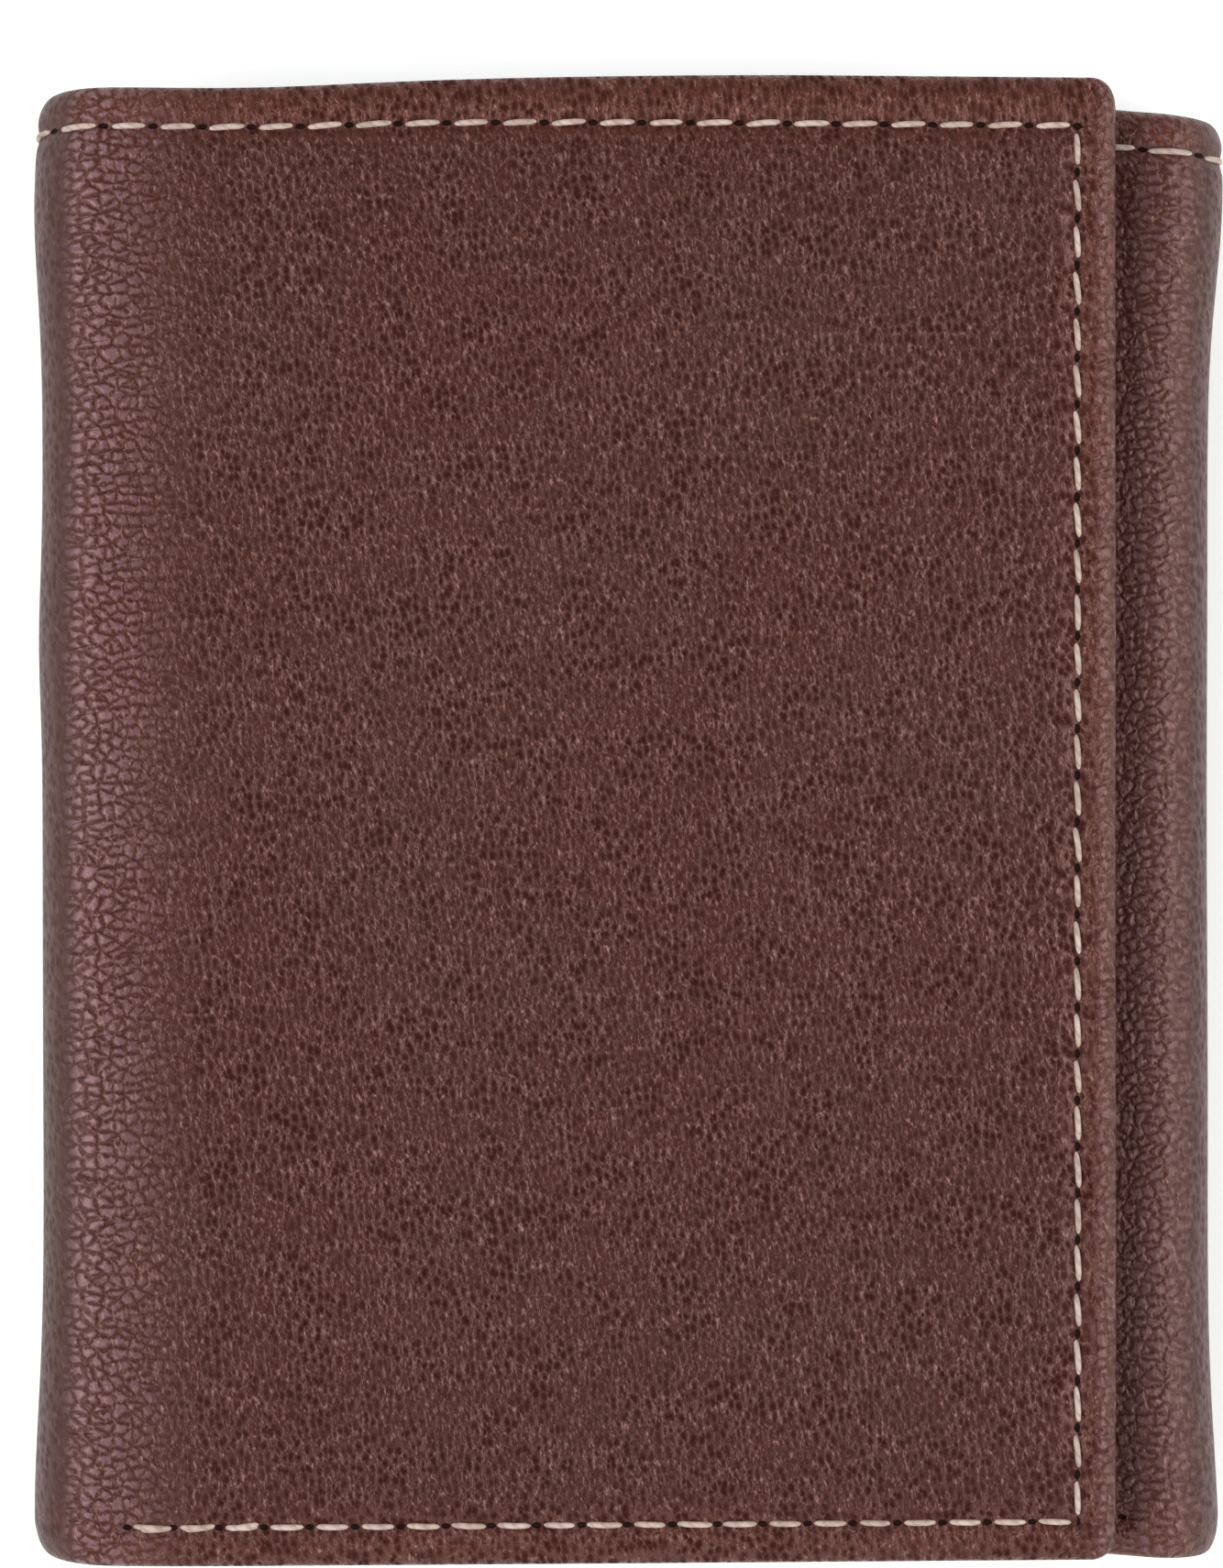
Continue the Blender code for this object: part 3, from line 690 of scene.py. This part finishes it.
def lining_fabric():
    """A dark brown woven lining: fine crossing threads with a faint sheen."""
    nodes = Nodes.of_material("lining_fabric")
    run, y, _, vector = nodes.attribute("hide")
    thread = 2 * math.pi / WEAVE_PITCH
    warp = nodes.math("SINE", nodes.times(run, thread))
    weft = nodes.math("SINE", nodes.times(y, thread))
    weave = nodes.times(warp, weft)
    uneven = nodes.noise(vector, 0.5, 3.0)
    light = nodes.math("ADD", nodes.times(weave, 0.3), uneven)
    colour = nodes.mix(nodes.ramp(light, 0.1, 1.0), linear(34, 24, 21), linear(62, 46, 40))
    nodes.set("Base Color", colour)
    nodes.set("Roughness", 0.8)
    nodes.set("Sheen Weight", 0.3)
    nodes.set("Normal", nodes.bump(weave, 0.04 * MM, 0.8))
    return nodes.material


def seam_thread():
    """Cream twisted thread, a little soiled, with painted shade in the grooves of its twist."""
    nodes = Nodes.of_material("seam_thread")
    position = nodes.node("ShaderNodeTexCoord").outputs["Object"]
    twist = nodes.node(
        "ShaderNodeTexWave",
        {"Vector": position, "Scale": 620.0, "Distortion": 1.5},
        bands_direction="DIAGONAL",
    ).outputs["Fac"]
    soil = nodes.noise(position, 700.0, 2.0)
    colour = nodes.mix(nodes.ramp(soil, 0.3, 0.75), linear(178, 161, 148), linear(150, 131, 116))
    # Painted shade in the grooves between the twist's plies.
    colour = nodes.mix(nodes.ramp(twist, 0.0, 0.5, 0.35, 0.0), colour, linear(104, 80, 66))
    nodes.set("Base Color", colour)
    nodes.set("Roughness", 0.6)
    nodes.set("Sheen Weight", 0.25)
    nodes.set("Normal", nodes.bump(twist, 0.06 * MM, 0.7))
    return nodes.material


def clear_plastic():
    """The window's clear sheet, faintly frosted and scuffed."""
    nodes = Nodes.of_material("clear_window")
    position = nodes.node("ShaderNodeTexCoord").outputs["Object"]
    scuff = nodes.noise(position, 260.0, 4.0, 0.65)
    nodes.set("Base Color", linear(228, 230, 228))
    nodes.set("Roughness", nodes.ramp(scuff, 0.3, 0.75, 0.08, 0.3))
    nodes.set("Alpha", nodes.ramp(scuff, 0.3, 0.8, 0.03, 0.09))
    nodes.set("Normal", nodes.bump(nodes.noise(position, 90.0, 2.0), 0.1 * MM, 0.4))
    return nodes.material


# --- Shell ---

CORNER_RADIUS = 1.8
RIM_WIDTH = 2.4
RIM_DROP = 1.0
SHELL_GRID = 0.55
SEAM_BAND = np.arange(-1.5, 1.51, 0.3)


def rounded_corners(runs, heights):
    """Heights drawn in near the flaps' free edges, so that their corners are round."""
    from_edge = np.minimum(runs, PATH_END - runs)
    into = np.clip(CORNER_RADIUS - from_edge, 0, CORNER_RADIUS)
    inset = CORNER_RADIUS - np.sqrt(np.maximum(CORNER_RADIUS**2 - into**2, 0))
    keep = TOP - CORNER_RADIUS
    beyond = np.clip(np.abs(heights) - keep, 0, None)
    limit = CORNER_RADIUS - inset
    return np.sign(heights) * (np.minimum(np.abs(heights), keep) + beyond * limit / CORNER_RADIUS)


def edge_distance(runs, heights):
    """Distance from the nearest free edge of the shell, round its corners too."""
    from_edge = np.minimum(runs, PATH_END - runs)
    from_side = TOP - np.abs(heights)
    in_corner = (from_edge < CORNER_RADIUS) & (from_side < CORNER_RADIUS)
    round_way = CORNER_RADIUS - np.hypot(CORNER_RADIUS - from_edge, CORNER_RADIUS - from_side)
    return np.maximum(np.where(in_corner, round_way, np.minimum(from_edge, from_side)), 0)


def rim_drop(distance, width, drop):
    """How far a round rim falls away from the flat face this near its edge."""
    into = np.clip(1 - distance / width, 0, 1)
    return drop * (1 - np.sqrt(1 - into**2))


def shell_outer(runs, heights):
    """Depth of the outer face: pressed along the seams, puffed between and rounded at the rim."""
    across, along = seam_coordinates(runs, heights, SEAM_LEGS)
    distance = edge_distance(runs, heights)
    valley = 0.26 * hump(across, 0, 0.75)
    pucker = 0.07 * np.cos(2 * math.pi * along) * hump(across, 0, 1.5)
    puff = 0.14 * hump(across, 0, 4.5) - 0.14
    return rim_drop(distance, RIM_WIDTH, RIM_DROP) + valley + pucker + puff * ease(distance, 0.5, 3)


def shell_inner(runs, heights):
    """Depth of the inner face, thicker where the leather is turned over at its edges."""
    distance = edge_distance(runs, heights)
    thickness = LEATHER_THICKNESS + 0.28 * (1 - ease(distance, 1.0, 6.0))
    return thickness - rim_drop(distance, 0.4, 0.25)


def add_zones(mesh, runs, heights):
    """What the leather shader reads: pebbled bends, smooth spine sides and free rims."""
    run, y = [np.concatenate([values.ravel()] * 2) for values in (runs, heights)]
    spine = ease(run, LEFT_UPPER[0] + 1.9, LEFT_UPPER[0] + 3.1)
    spine *= 1 - ease(run, LEFT_LOWER[1] - 4, LEFT_LOWER[1])
    far_side = ease(run, RIGHT_LOWER[0], RIGHT_LOWER[0] + 4)
    far_side *= 1 - ease(run, RIGHT_UPPER[0] + 2.0, RIGHT_UPPER[0] + 3.6)
    spine = np.maximum(spine, far_side)
    # Where bend is high the shader paints pebble highlights and crease shade, the cover's free edge
    # included; on the spine sides it paints shade.
    bend = np.maximum(0.86 * hump(run, LEFT_UPPER[0] + 1, 6), 0.6 * hump(run, RIGHT_UPPER[1], 5.5))
    bend = np.maximum(bend, 0.8 * hump(run, LEFT_LOWER[1] + 2, 5)) * (1 - spine)
    bend = np.maximum(bend, 0.75 * hump(run, 0.9, 0.7))
    rim = 1 - ease(edge_distance(run, y), 2.2, 5.0)
    add_vector_attribute(mesh, "zone", bend, spine, rim)


def fold_ends(stretch, depth):
    ends = place(np.array(stretch[:2]), np.zeros(2), depth)
    return [Vector(point) for point in ends]


BLENDS = [
    ("cover_flap", "left_spine", LEFT_UPPER, (0.0, LEFT_MIDDLE)),
    ("left_spine", "centre", LEFT_LOWER, (LEFT_MIDDLE, CENTRE_MIDDLE)),
    ("centre", "right_spine", RIGHT_LOWER, (CENTRE_MIDDLE, RIGHT_MIDDLE)),
    ("right_spine", "inner_flap", RIGHT_UPPER, (RIGHT_MIDDLE, PATH_END)),
]
PART_NAMES = ("cover", "back_left", "back_right", "inner")
SHELL_NODES = (
    ("cover_shell",),
    ("left_spine_shell",),
    ("centre_shell",),
    ("inner_shell", "right_spine_shell"),
)


def bend_between(obj, number, depth):
    """Bakes the piece's placement into its mesh. It reads the ends of the fold that it crosses but
    does not bend the piece.
    """
    body_a, body_b, stretch, _ = BLENDS[number]
    start, end = fold_ends(stretch, depth)
    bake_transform(obj)


def build_shell(finish):
    rim_y = np.concatenate([TOP - RIM_STEPS, RIM_STEPS - TOP])
    fine_y = np.concatenate([rim_y, SEAM_Y + SEAM_BAND, -SEAM_Y + SEAM_BAND])
    heights = lines(-TOP, TOP, SHELL_GRID, fine_y)
    for number, (name, nodes, blend) in enumerate(zip(PART_NAMES, SHELL_NODES, BLENDS)):
        first, last = blend[3]
        rim_run = np.concatenate([RIM_STEPS, PATH_END - RIM_STEPS])
        fine_run = np.concatenate([rim_run, COVER_SEAM + SEAM_BAND, INNER_SEAM + SEAM_BAND])
        runs = lines(first, last, SHELL_GRID, fine_run)
        walls = (first == 0.0, last == PATH_END, True, True)
        grid = np.meshgrid(runs, heights, indexing="ij")
        grid[1] = rounded_corners(*grid)
        faces = (shell_outer, shell_inner)
        obj = sheet_mesh(f"{name}_leather", *grid, *faces, walls, finish, SEAM_LEGS)
        add_zones(obj.data, *grid)
        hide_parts(*nodes)
        bend_between(obj, number, LEATHER_THICKNESS / 2)


# --- Stitches ---

# One stitch: shares of its pitch, how far it sinks at each and how thick the thread is there.
STITCH_SHAPE = np.array([0.10, 0.16, 0.24, 0.36, 0.5, 0.64, 0.76, 0.84, 0.90])
STITCH_SINK = np.array([0.34, 0.16, 0.02, -0.06, -0.08, -0.06, 0.02, 0.16, 0.34])
STITCH_WIDTH = np.array([0.55, 0.85, 1.0, 1.05, 1.05, 1.05, 1.0, 0.85, 0.55])
SLANT_JITTER, SINK_JITTER, REACH_JITTER = 0.04, 0.02, 0.03
THREAD_RADIUS = 0.205
POCKET_THREAD_RADIUS = 0.17
SHELL_STITCH_SEED = 7
POCKET_STITCH_SEED = 11
EVERY_RUN = (-math.inf, math.inf)


def stitches_on(legs, span, surface, random, side=1):
    """Paths of these seams' stitches with their middle in a span of runs, on one side of a sheet."""
    paths = []
    for start, end, count, lean in legs:
        ahead = np.array(end, float) - np.array(start, float)
        aside = np.array([-ahead[1], ahead[0]]) / np.hypot(*ahead)
        for k in range(count):
            slant = lean + SLANT_JITTER * random.standard_normal()
            sink = SINK_JITTER * random.standard_normal()
            reach = 1 + REACH_JITTER * random.standard_normal()
            share = (k + 0.5 + (STITCH_SHAPE - 0.5) * reach) / count
            flat = np.array(start)[None] + share[:, None] * ahead[None]
            flat = flat + aside[None] * (np.linspace(-1, 1, len(share)) * slant)[:, None]
            if not span[0] <= flat[:, 0].mean() < span[1]:
                continue
            depth = surface(flat[:, 0], flat[:, 1]) + side * (STITCH_SINK + sink)
            paths.append((place(flat[:, 0], flat[:, 1], depth), STITCH_WIDTH))
    return paths


def back_tack():
    """A few doubled stitches where the cover's lower seam starts."""
    first = COVER_LENGTH - SEAM_START
    return [((first - 0.5, -SEAM_Y - 0.16), (first - 9.8, -SEAM_Y + 0.1), 3, -0.1)]


def build_stitching(finish):
    random = np.random.default_rng(SHELL_STITCH_SEED)
    nodes = (
        ("cover_thread",),
        ("left_spine_thread",),
        ("centre_upper_thread", "centre_lower_thread"),
        ("inner_thread", "right_spine_thread"),
    )
    for number, (name, replaced, blend) in enumerate(zip(PART_NAMES, nodes, BLENDS)):
        span = blend[3]
        legs = SEAM_LEGS + (back_tack() if number == 0 else [])
        paths = stitches_on(legs, span, shell_outer, random)
        obj = tube_mesh(f"{name}_stitching", paths, THREAD_RADIUS, finish)
        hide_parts(*replaced)
        bend_between(obj, number, LEATHER_THICKNESS / 2)


# --- Lining and note compartment wall ---

PINCH = 0.35
PINCH_REACH = 9.0
RIM_GAP = 0.02  # the flat that is left between a thin sheet's two round rims, over 2


def pinched(depth, distance):
    """A layer's depth, pressed towards the leather near the sewn edges."""
    share = 1 - PINCH * (1 - ease(distance, 1.5, PINCH_REACH))
    return LEATHER_THICKNESS + 0.32 * (1 - share) / PINCH + (depth - LEATHER_THICKNESS) * share


def sewn_distance(runs, heights):
    """Distance from the sewn lower edge or a flap's free edge. The upper edge is open."""
    return np.minimum(np.minimum(runs, PATH_END - runs), TOP + heights)


def rim_lines(low, high, rim):
    """Extra grid lines that round a sheet's rims between these two edges."""
    steps = np.array([0.0, 0.07, 0.25, 0.55, 1.0]) * rim
    return np.concatenate([low + steps, high - steps])


def build_folded_layer(part, depth, high, finish, spacing):
    """A sheet that runs on round both folds: the lining or the note compartment's wall."""
    low, first, last = -TOP + LINING_INSET, LINING_INSET, PATH_END - LINING_INSET
    rim = (depth[1] - depth[0]) / 2 - RIM_GAP
    heights = lines(low, high, spacing, rim_lines(low, high, rim))

    def rim_of(runs, y):
        nearest = np.minimum(np.minimum(y - low, high - y), np.minimum(runs - first, last - runs))
        return rim_drop(np.maximum(nearest, 0), rim, rim)

    def outer(runs, y):
        return pinched(depth[0], sewn_distance(runs, y)) + rim_of(runs, y)

    def inner(runs, y):
        return pinched(depth[1], sewn_distance(runs, y)) - rim_of(runs, y)

    nodes = (
        (f"cover_{part}",),
        (f"left_spine_{part}",),
        (f"centre_{part}",),
        (f"inner_{part}", f"right_spine_{part}"),
    )
    for number, (name, replaced, blend) in enumerate(zip(PART_NAMES, nodes, BLENDS)):
        start, end = max(blend[3][0], first), min(blend[3][1], last)
        extra = np.concatenate([np.linspace(*blend[2][:2], 14), rim_lines(first, last, rim)])
        grid = np.meshgrid(lines(start, end, spacing, extra), heights, indexing="ij")
        walls = (start == first, end == last, True, True)
        obj = sheet_mesh(f"{name}_{part}_sheet", *grid, outer, inner, walls, finish)
        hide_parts(*replaced)
        bend_between(obj, number, sum(depth) / 2)


# --- Pockets and window ---

POCKET_LOW = -TOP + POCKET_INSET
POCKET_CLEAR = POCKET_FOLD_INSET - FOLD_RADIUS
POCKET_SPANS = {
    "cover": (POCKET_INSET, COVER_LENGTH - POCKET_FOLD_INSET),
    "centre": (CENTRE_FLAT[0] + POCKET_CLEAR, CENTRE_FLAT[1] - POCKET_CLEAR),
    "inner": (PATH_END - INNER_LENGTH + POCKET_FOLD_INSET, PATH_END - POCKET_INSET),
}
POCKET_RIM = 0.3
CREASE_INSET = 1.7
EDGE_SKIP = 0.9  # the seam breaks off this far from a pocket's edge and starts again past it
FRAME_RAYS = 480
FRAME_STEPS = 34


def pocket_legs(span, tops):
    """The pocket seam: up both sides to each pocket's edge in turn, and along the bottom."""
    inset = SEAM_INSET - POCKET_INSET
    sides = (span[0] + inset, span[1] - inset)
    legs = [leg((sides[0], -SEAM_Y), (sides[1], -SEAM_Y), EDGE_PITCH, 0.06)]
    low = -SEAM_Y
    for top in tops:
        legs += [leg((side, low), (side, top - EDGE_SKIP), EDGE_PITCH, 0.08) for side in sides]
        low = top + EDGE_SKIP
    return legs


def pocket_face(depth, span, top, legs):
    """Depth of a pocket's visible face: round at its rims, creased below its folded upper edge."""

    def face(runs, y):
        across, _ = seam_coordinates(runs, y, legs)
        to_sides = np.minimum(runs - span[0], span[1] - runs)
        nearest = np.minimum(np.minimum(y - POCKET_LOW, top - y), to_sides)
        pressed = 0.16 * hump(across, 0, 0.6) + 0.10 * hump(y, top - CREASE_INSET, 0.28)
        rise = 0.07 * hump(y, top - 0.75, 0.7)
        rim = rim_drop(np.maximum(nearest, 0), POCKET_RIM, POCKET_RIM)
        return pinched(depth, sewn_distance(runs, y)) - pressed + rise - rim

    return face


def pocket_back(depth):
    def back(runs, y):
        return pinched(depth, sewn_distance(runs, y))

    return back


def show_on(obj, body, node):
    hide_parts(node)
    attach(obj, body)


def build_pocket(body, node, span, depth, top, legs, finish):
    """A card slot's leather on the body's inner side."""
    seam_band = np.array([-0.9, -0.6, -0.3, 0.0, 0.3, 0.6, 0.9])
    inset = SEAM_INSET - POCKET_INSET
    crease = top - np.array([0.4, 0.75, 1.1, 1.4, 1.55, 1.7, 1.85, 2.0, 2.4])
    extra_y = np.concatenate([rim_lines(POCKET_LOW, top, POCKET_RIM), -SEAM_Y + seam_band, crease])
    extra = [rim_lines(*span, POCKET_RIM), span[0] + inset + seam_band, span[1] - inset + seam_band]
    runs = lines(*span, 1.2, np.concatenate(extra))
    grid = np.meshgrid(runs, lines(POCKET_LOW, top, 1.2, extra_y), indexing="ij")
    faces = (pocket_back(depth[0]), pocket_face(depth[1], span, top, legs))
    obj = sheet_mesh(f"{node}_leather", *grid, *faces, (True,) * 4, finish, legs)
    show_on(obj, body, node)


def build_plain_sheet(body, node, span, low, high, depth, finish, slot):
    rim = (depth[1] - depth[0]) / 2 - RIM_GAP
    grid = np.meshgrid(
        lines(*span, 3.0, rim_lines(*span, rim)),
        lines(low, high, 3.0, rim_lines(low, high, rim)),
        indexing="ij",
    )
    faces = (pocket_back(depth[0]), pocket_back(depth[1]))
    obj = sheet_mesh(f"{node}_sheet", *grid, *faces, (True,) * 4, finish)
    show_on(obj, body, node)


def build_pocket_stitches(body, node, legs, faces, finish, random):
    """The seam seen on the pockets. faces gives each span's upper edge and face, nearest first."""

    def surface(runs, y):
        depth = faces[-1][1](runs, y)
        for top, face in reversed(faces):
            depth = np.where(y < top, face(runs, y), depth)
        return depth

    paths = stitches_on(legs, EVERY_RUN, surface, random, side=-1)
    obj = tube_mesh(f"{node}_stitches", paths, POCKET_THREAD_RADIUS, finish)
    show_on(obj, body, node)


def rounded_rectangle(middle, size, radius, angles):
    """Where rays at these angles from the middle leave a rectangle with round corners."""
    ahead = np.stack([np.cos(angles), np.sin(angles)], -1)
    half = np.array(size) / 2
    low, high = np.zeros(len(angles)), np.full(len(angles), np.hypot(*half))
    for _ in range(40):
        reach = (low + high) / 2
        beyond = np.abs(ahead * reach[:, None]) - (half - radius)
        outside = np.hypot(*np.maximum(beyond, 0).T) > radius
        low, high = np.where(outside, low, reach), np.where(outside, reach, high)
    return np.array(middle) + ahead * low[:, None]


def build_window_frame(span, legs, finish):
    """The leather round the window: a ring from the pocket's outline in to the opening."""
    middle = (sum(span) / 2, WINDOW_CENTRE_Y)
    size = (span[1] - span[0], WINDOW_FRAME_TOP - POCKET_LOW)
    outline_middle = (middle[0], (WINDOW_FRAME_TOP + POCKET_LOW) / 2)
    angles = np.linspace(0, 2 * math.pi, FRAME_RAYS, endpoint=False)
    opening = rounded_rectangle(middle, WINDOW_OPENING, WINDOW_CORNER_RADIUS, angles)
    outline = rounded_rectangle(outline_middle, size, 0.3, angles)
    steps = np.linspace(0, 1, FRAME_STEPS)
    steps = np.unique(np.concatenate([steps, [0.005, 0.012, 0.02, 0.98, 0.988, 0.995]]))
    grid = outline[:, None] * (1 - steps)[None, :, None] + opening[:, None] * steps[None, :, None]
    from_opening = np.linalg.norm(grid - opening[:, None], axis=2)
    outer_face = pocket_face(WINDOW_FRAME[1], span, WINDOW_FRAME_TOP, legs)

    def face(runs, y):
        lip = rim_drop(from_opening, POCKET_RIM, POCKET_RIM) + 0.08 * hump(from_opening, 1.5, 0.3)
        return outer_face(runs, y) - lip

    faces = (pocket_back(WINDOW_FRAME[0]), face)
    walls = (False, False, True, True)
    obj = sheet_mesh(
        "window_frame_leather", grid[..., 0], grid[..., 1], *faces, walls, finish, legs, ring=True
    )
    show_on(obj, "centre", "id_window_frame")
    return outer_face


def build_card_pockets(body, prefix, leather, fabric, thread, random):
    span = POCKET_SPANS[prefix]
    legs = pocket_legs(span, SLOT_TOPS[::-1])
    node = f"{prefix}_pocket_backing"
    build_plain_sheet(body, node, span, POCKET_LOW, BACKING_TOP, BACKING, fabric, "lining_fabric")
    faces = []
    for number, (depth, top) in enumerate(zip(SLOTS, SLOT_TOPS), start=1):
        build_pocket(body, f"{prefix}_card_slot_{number}", span, depth, top, legs, leather)
        faces.insert(0, (top, pocket_face(depth[1], span, top, legs)))
    build_pocket_stitches(body, f"{prefix}_pocket_thread", legs, faces, thread, random)


def build_identity_window(leather, fabric, thread, plastic, random):
    span = POCKET_SPANS["centre"]
    legs = pocket_legs(span, (WINDOW_FRAME_TOP, ID_SLOT_TOP))
    node = "centre_pocket_backing"
    build_plain_sheet("centre", node, span, POCKET_LOW, BACKING_TOP, BACKING, fabric, "lining_fabric")
    build_pocket("centre", "centre_card_slot", span, SLOTS[0], ID_SLOT_TOP, legs, leather)
    frame_face = build_window_frame(span, legs, leather)
    slot_face = pocket_face(SLOTS[0][1], span, ID_SLOT_TOP, legs)
    faces = [(WINDOW_FRAME_TOP, frame_face), (ID_SLOT_TOP, slot_face)]
    build_pocket_stitches("centre", "centre_pocket_thread", legs, faces, thread, random)
    half = np.array(WINDOW_OPENING) / 2 + WINDOW_LAP
    sides = (sum(span) / 2 - half[0], sum(span) / 2 + half[0])
    ends = (WINDOW_CENTRE_Y - half[1], WINDOW_CENTRE_Y + half[1])
    build_plain_sheet("centre", "id_window", sides, *ends, WINDOW, plastic, "clear_window")


# --- Stage ---

CAMERA_X = -1.55
CAMERA_Y = 2.7
CAMERA_HEIGHT = 306.0
FRAME_HEIGHT_AT_COVER = 112.42
COVER_PLANE = 15.5
FLOOR_WHITE = (0.93, 0.98, 0.94, 1.0)
FLOOR_GLOW_REACH = (0.15, 1.1)  # metres from the wallet between which the glow grows
FLOOR_GLOW = (0.1, 0.85)  # its strength at those two distances
FLOOR_HALF_SIZE = 3.0
# Each lamp: its place and its size in millimetres, its power in watts and its colour.
LAMPS = {
    "left_softbox": ((-455, -40, 620), (900, 380), 7.0, (1.0, 0.94, 1.0)),
    "right_softbox": ((560, -40, 520), (900, 360), 5.8, (1.0, 0.96, 0.98)),
    "front_fill": ((0, -800, 600), (900, 400), 2.0, (1.0, 0.98, 0.96)),
}


def build_stage():
    """A pale floor that glows softly far out, where the lamps no longer reach."""
    size = FLOOR_HALF_SIZE
    mesh = bpy.data.meshes.new("floor")
    corners = [(-size, -size, 0), (size, -size, 0), (size, size, 0), (-size, size, 0)]
    mesh.from_pydata(corners, [], [(0, 1, 2, 3)])
    nodes = Nodes.of_material("floor_white")
    nodes.set("Base Color", FLOOR_WHITE)
    nodes.set("Roughness", 0.9)
    position = nodes.node("ShaderNodeTexCoord").outputs["Object"]
    distance = nodes.node("ShaderNodeVectorMath", {"Vector": position}, operation="LENGTH")
    glow = nodes.ramp(distance.outputs["Value"], *FLOOR_GLOW_REACH, *FLOOR_GLOW)
    nodes.set("Emission Color", (1.0, 1.0, 1.0, 1.0))
    nodes.set("Emission Strength", glow)
    floor = finish_mesh("floor", mesh, nodes.material)


def area_light(name, position_mm, size_mm, power, colour):
    """A soft rectangular lamp, aimed at the middle of the floor."""
    data = bpy.data.lights.new(name, "AREA")
    data.shape = "RECTANGLE"
    data.size, data.size_y = [value * MM for value in size_mm]
    data.energy = power
    data.color = colour
    light = bpy.data.objects.new(name, data)
    bpy.context.scene.collection.objects.link(light)
    light.location = Vector(position_mm) * MM
    light.rotation_euler = (-light.location).to_track_quat("-Z", "Y").to_euler()


def build_lights():
    for name, settings in LAMPS.items():
        area_light(name, *settings)


def build_world():
    """A room that is pale all round and dark overhead, and plain white behind the floor."""
    world = bpy.data.worlds.new("studio")
    bpy.context.scene.world = world
    world.use_nodes = True
    nodes = Nodes(world.node_tree)
    background = world.node_tree.nodes["Background"]
    direction = nodes.node("ShaderNodeTexCoord").outputs["Generated"]
    upward = nodes.node("ShaderNodeSeparateXYZ", {"Vector": direction}).outputs[2]
    room = nodes.ramp(upward, 0.05, 0.75, 1.25, 0.05)
    seen = nodes.node("ShaderNodeLightPath").outputs["Is Camera Ray"]
    nodes.link(nodes.math("MAXIMUM", room, seen), background.inputs["Strength"])
    nodes.link((0.98, 0.99, 1.0, 1.0), background.inputs["Color"])


def build_camera():
    """Straight above the wallet, a little to the left and towards its upper edge."""
    data = bpy.data.cameras.new("camera")
    camera = bpy.data.objects.new("camera", data)
    bpy.context.scene.collection.objects.link(camera)
    data.sensor_fit = "VERTICAL"
    data.sensor_height = data.sensor_width = 36.0
    distance = CAMERA_HEIGHT - COVER_PLANE
    data.lens = data.sensor_height * distance / FRAME_HEIGHT_AT_COVER
    data.clip_start = 0.01
    camera.location = Vector((CAMERA_X, CAMERA_Y, CAMERA_HEIGHT)) * MM
    bpy.context.scene.camera = camera
    bpy.context.scene.view_settings.view_transform = "Standard"


LEATHER = shell_leather()
POCKET_LEATHER = pocket_leather()
FABRIC = lining_fabric()
THREAD = seam_thread()
PLASTIC = clear_plastic()

build_shell(LEATHER)
build_stitching(THREAD)
build_folded_layer("lining", LINING, TOP - LINING_INSET, FABRIC, 2.0)
build_folded_layer("note_wall", NOTE_WALL, 49.0, POCKET_LEATHER, 1.2)
RANDOM = np.random.default_rng(POCKET_STITCH_SEED)
build_card_pockets("cover_flap", "cover", POCKET_LEATHER, FABRIC, THREAD, RANDOM)
build_card_pockets("inner_flap", "inner", POCKET_LEATHER, FABRIC, THREAD, RANDOM)
build_identity_window(POCKET_LEATHER, FABRIC, THREAD, PLASTIC, RANDOM)
build_stage()
build_lights()
build_world()
build_camera()
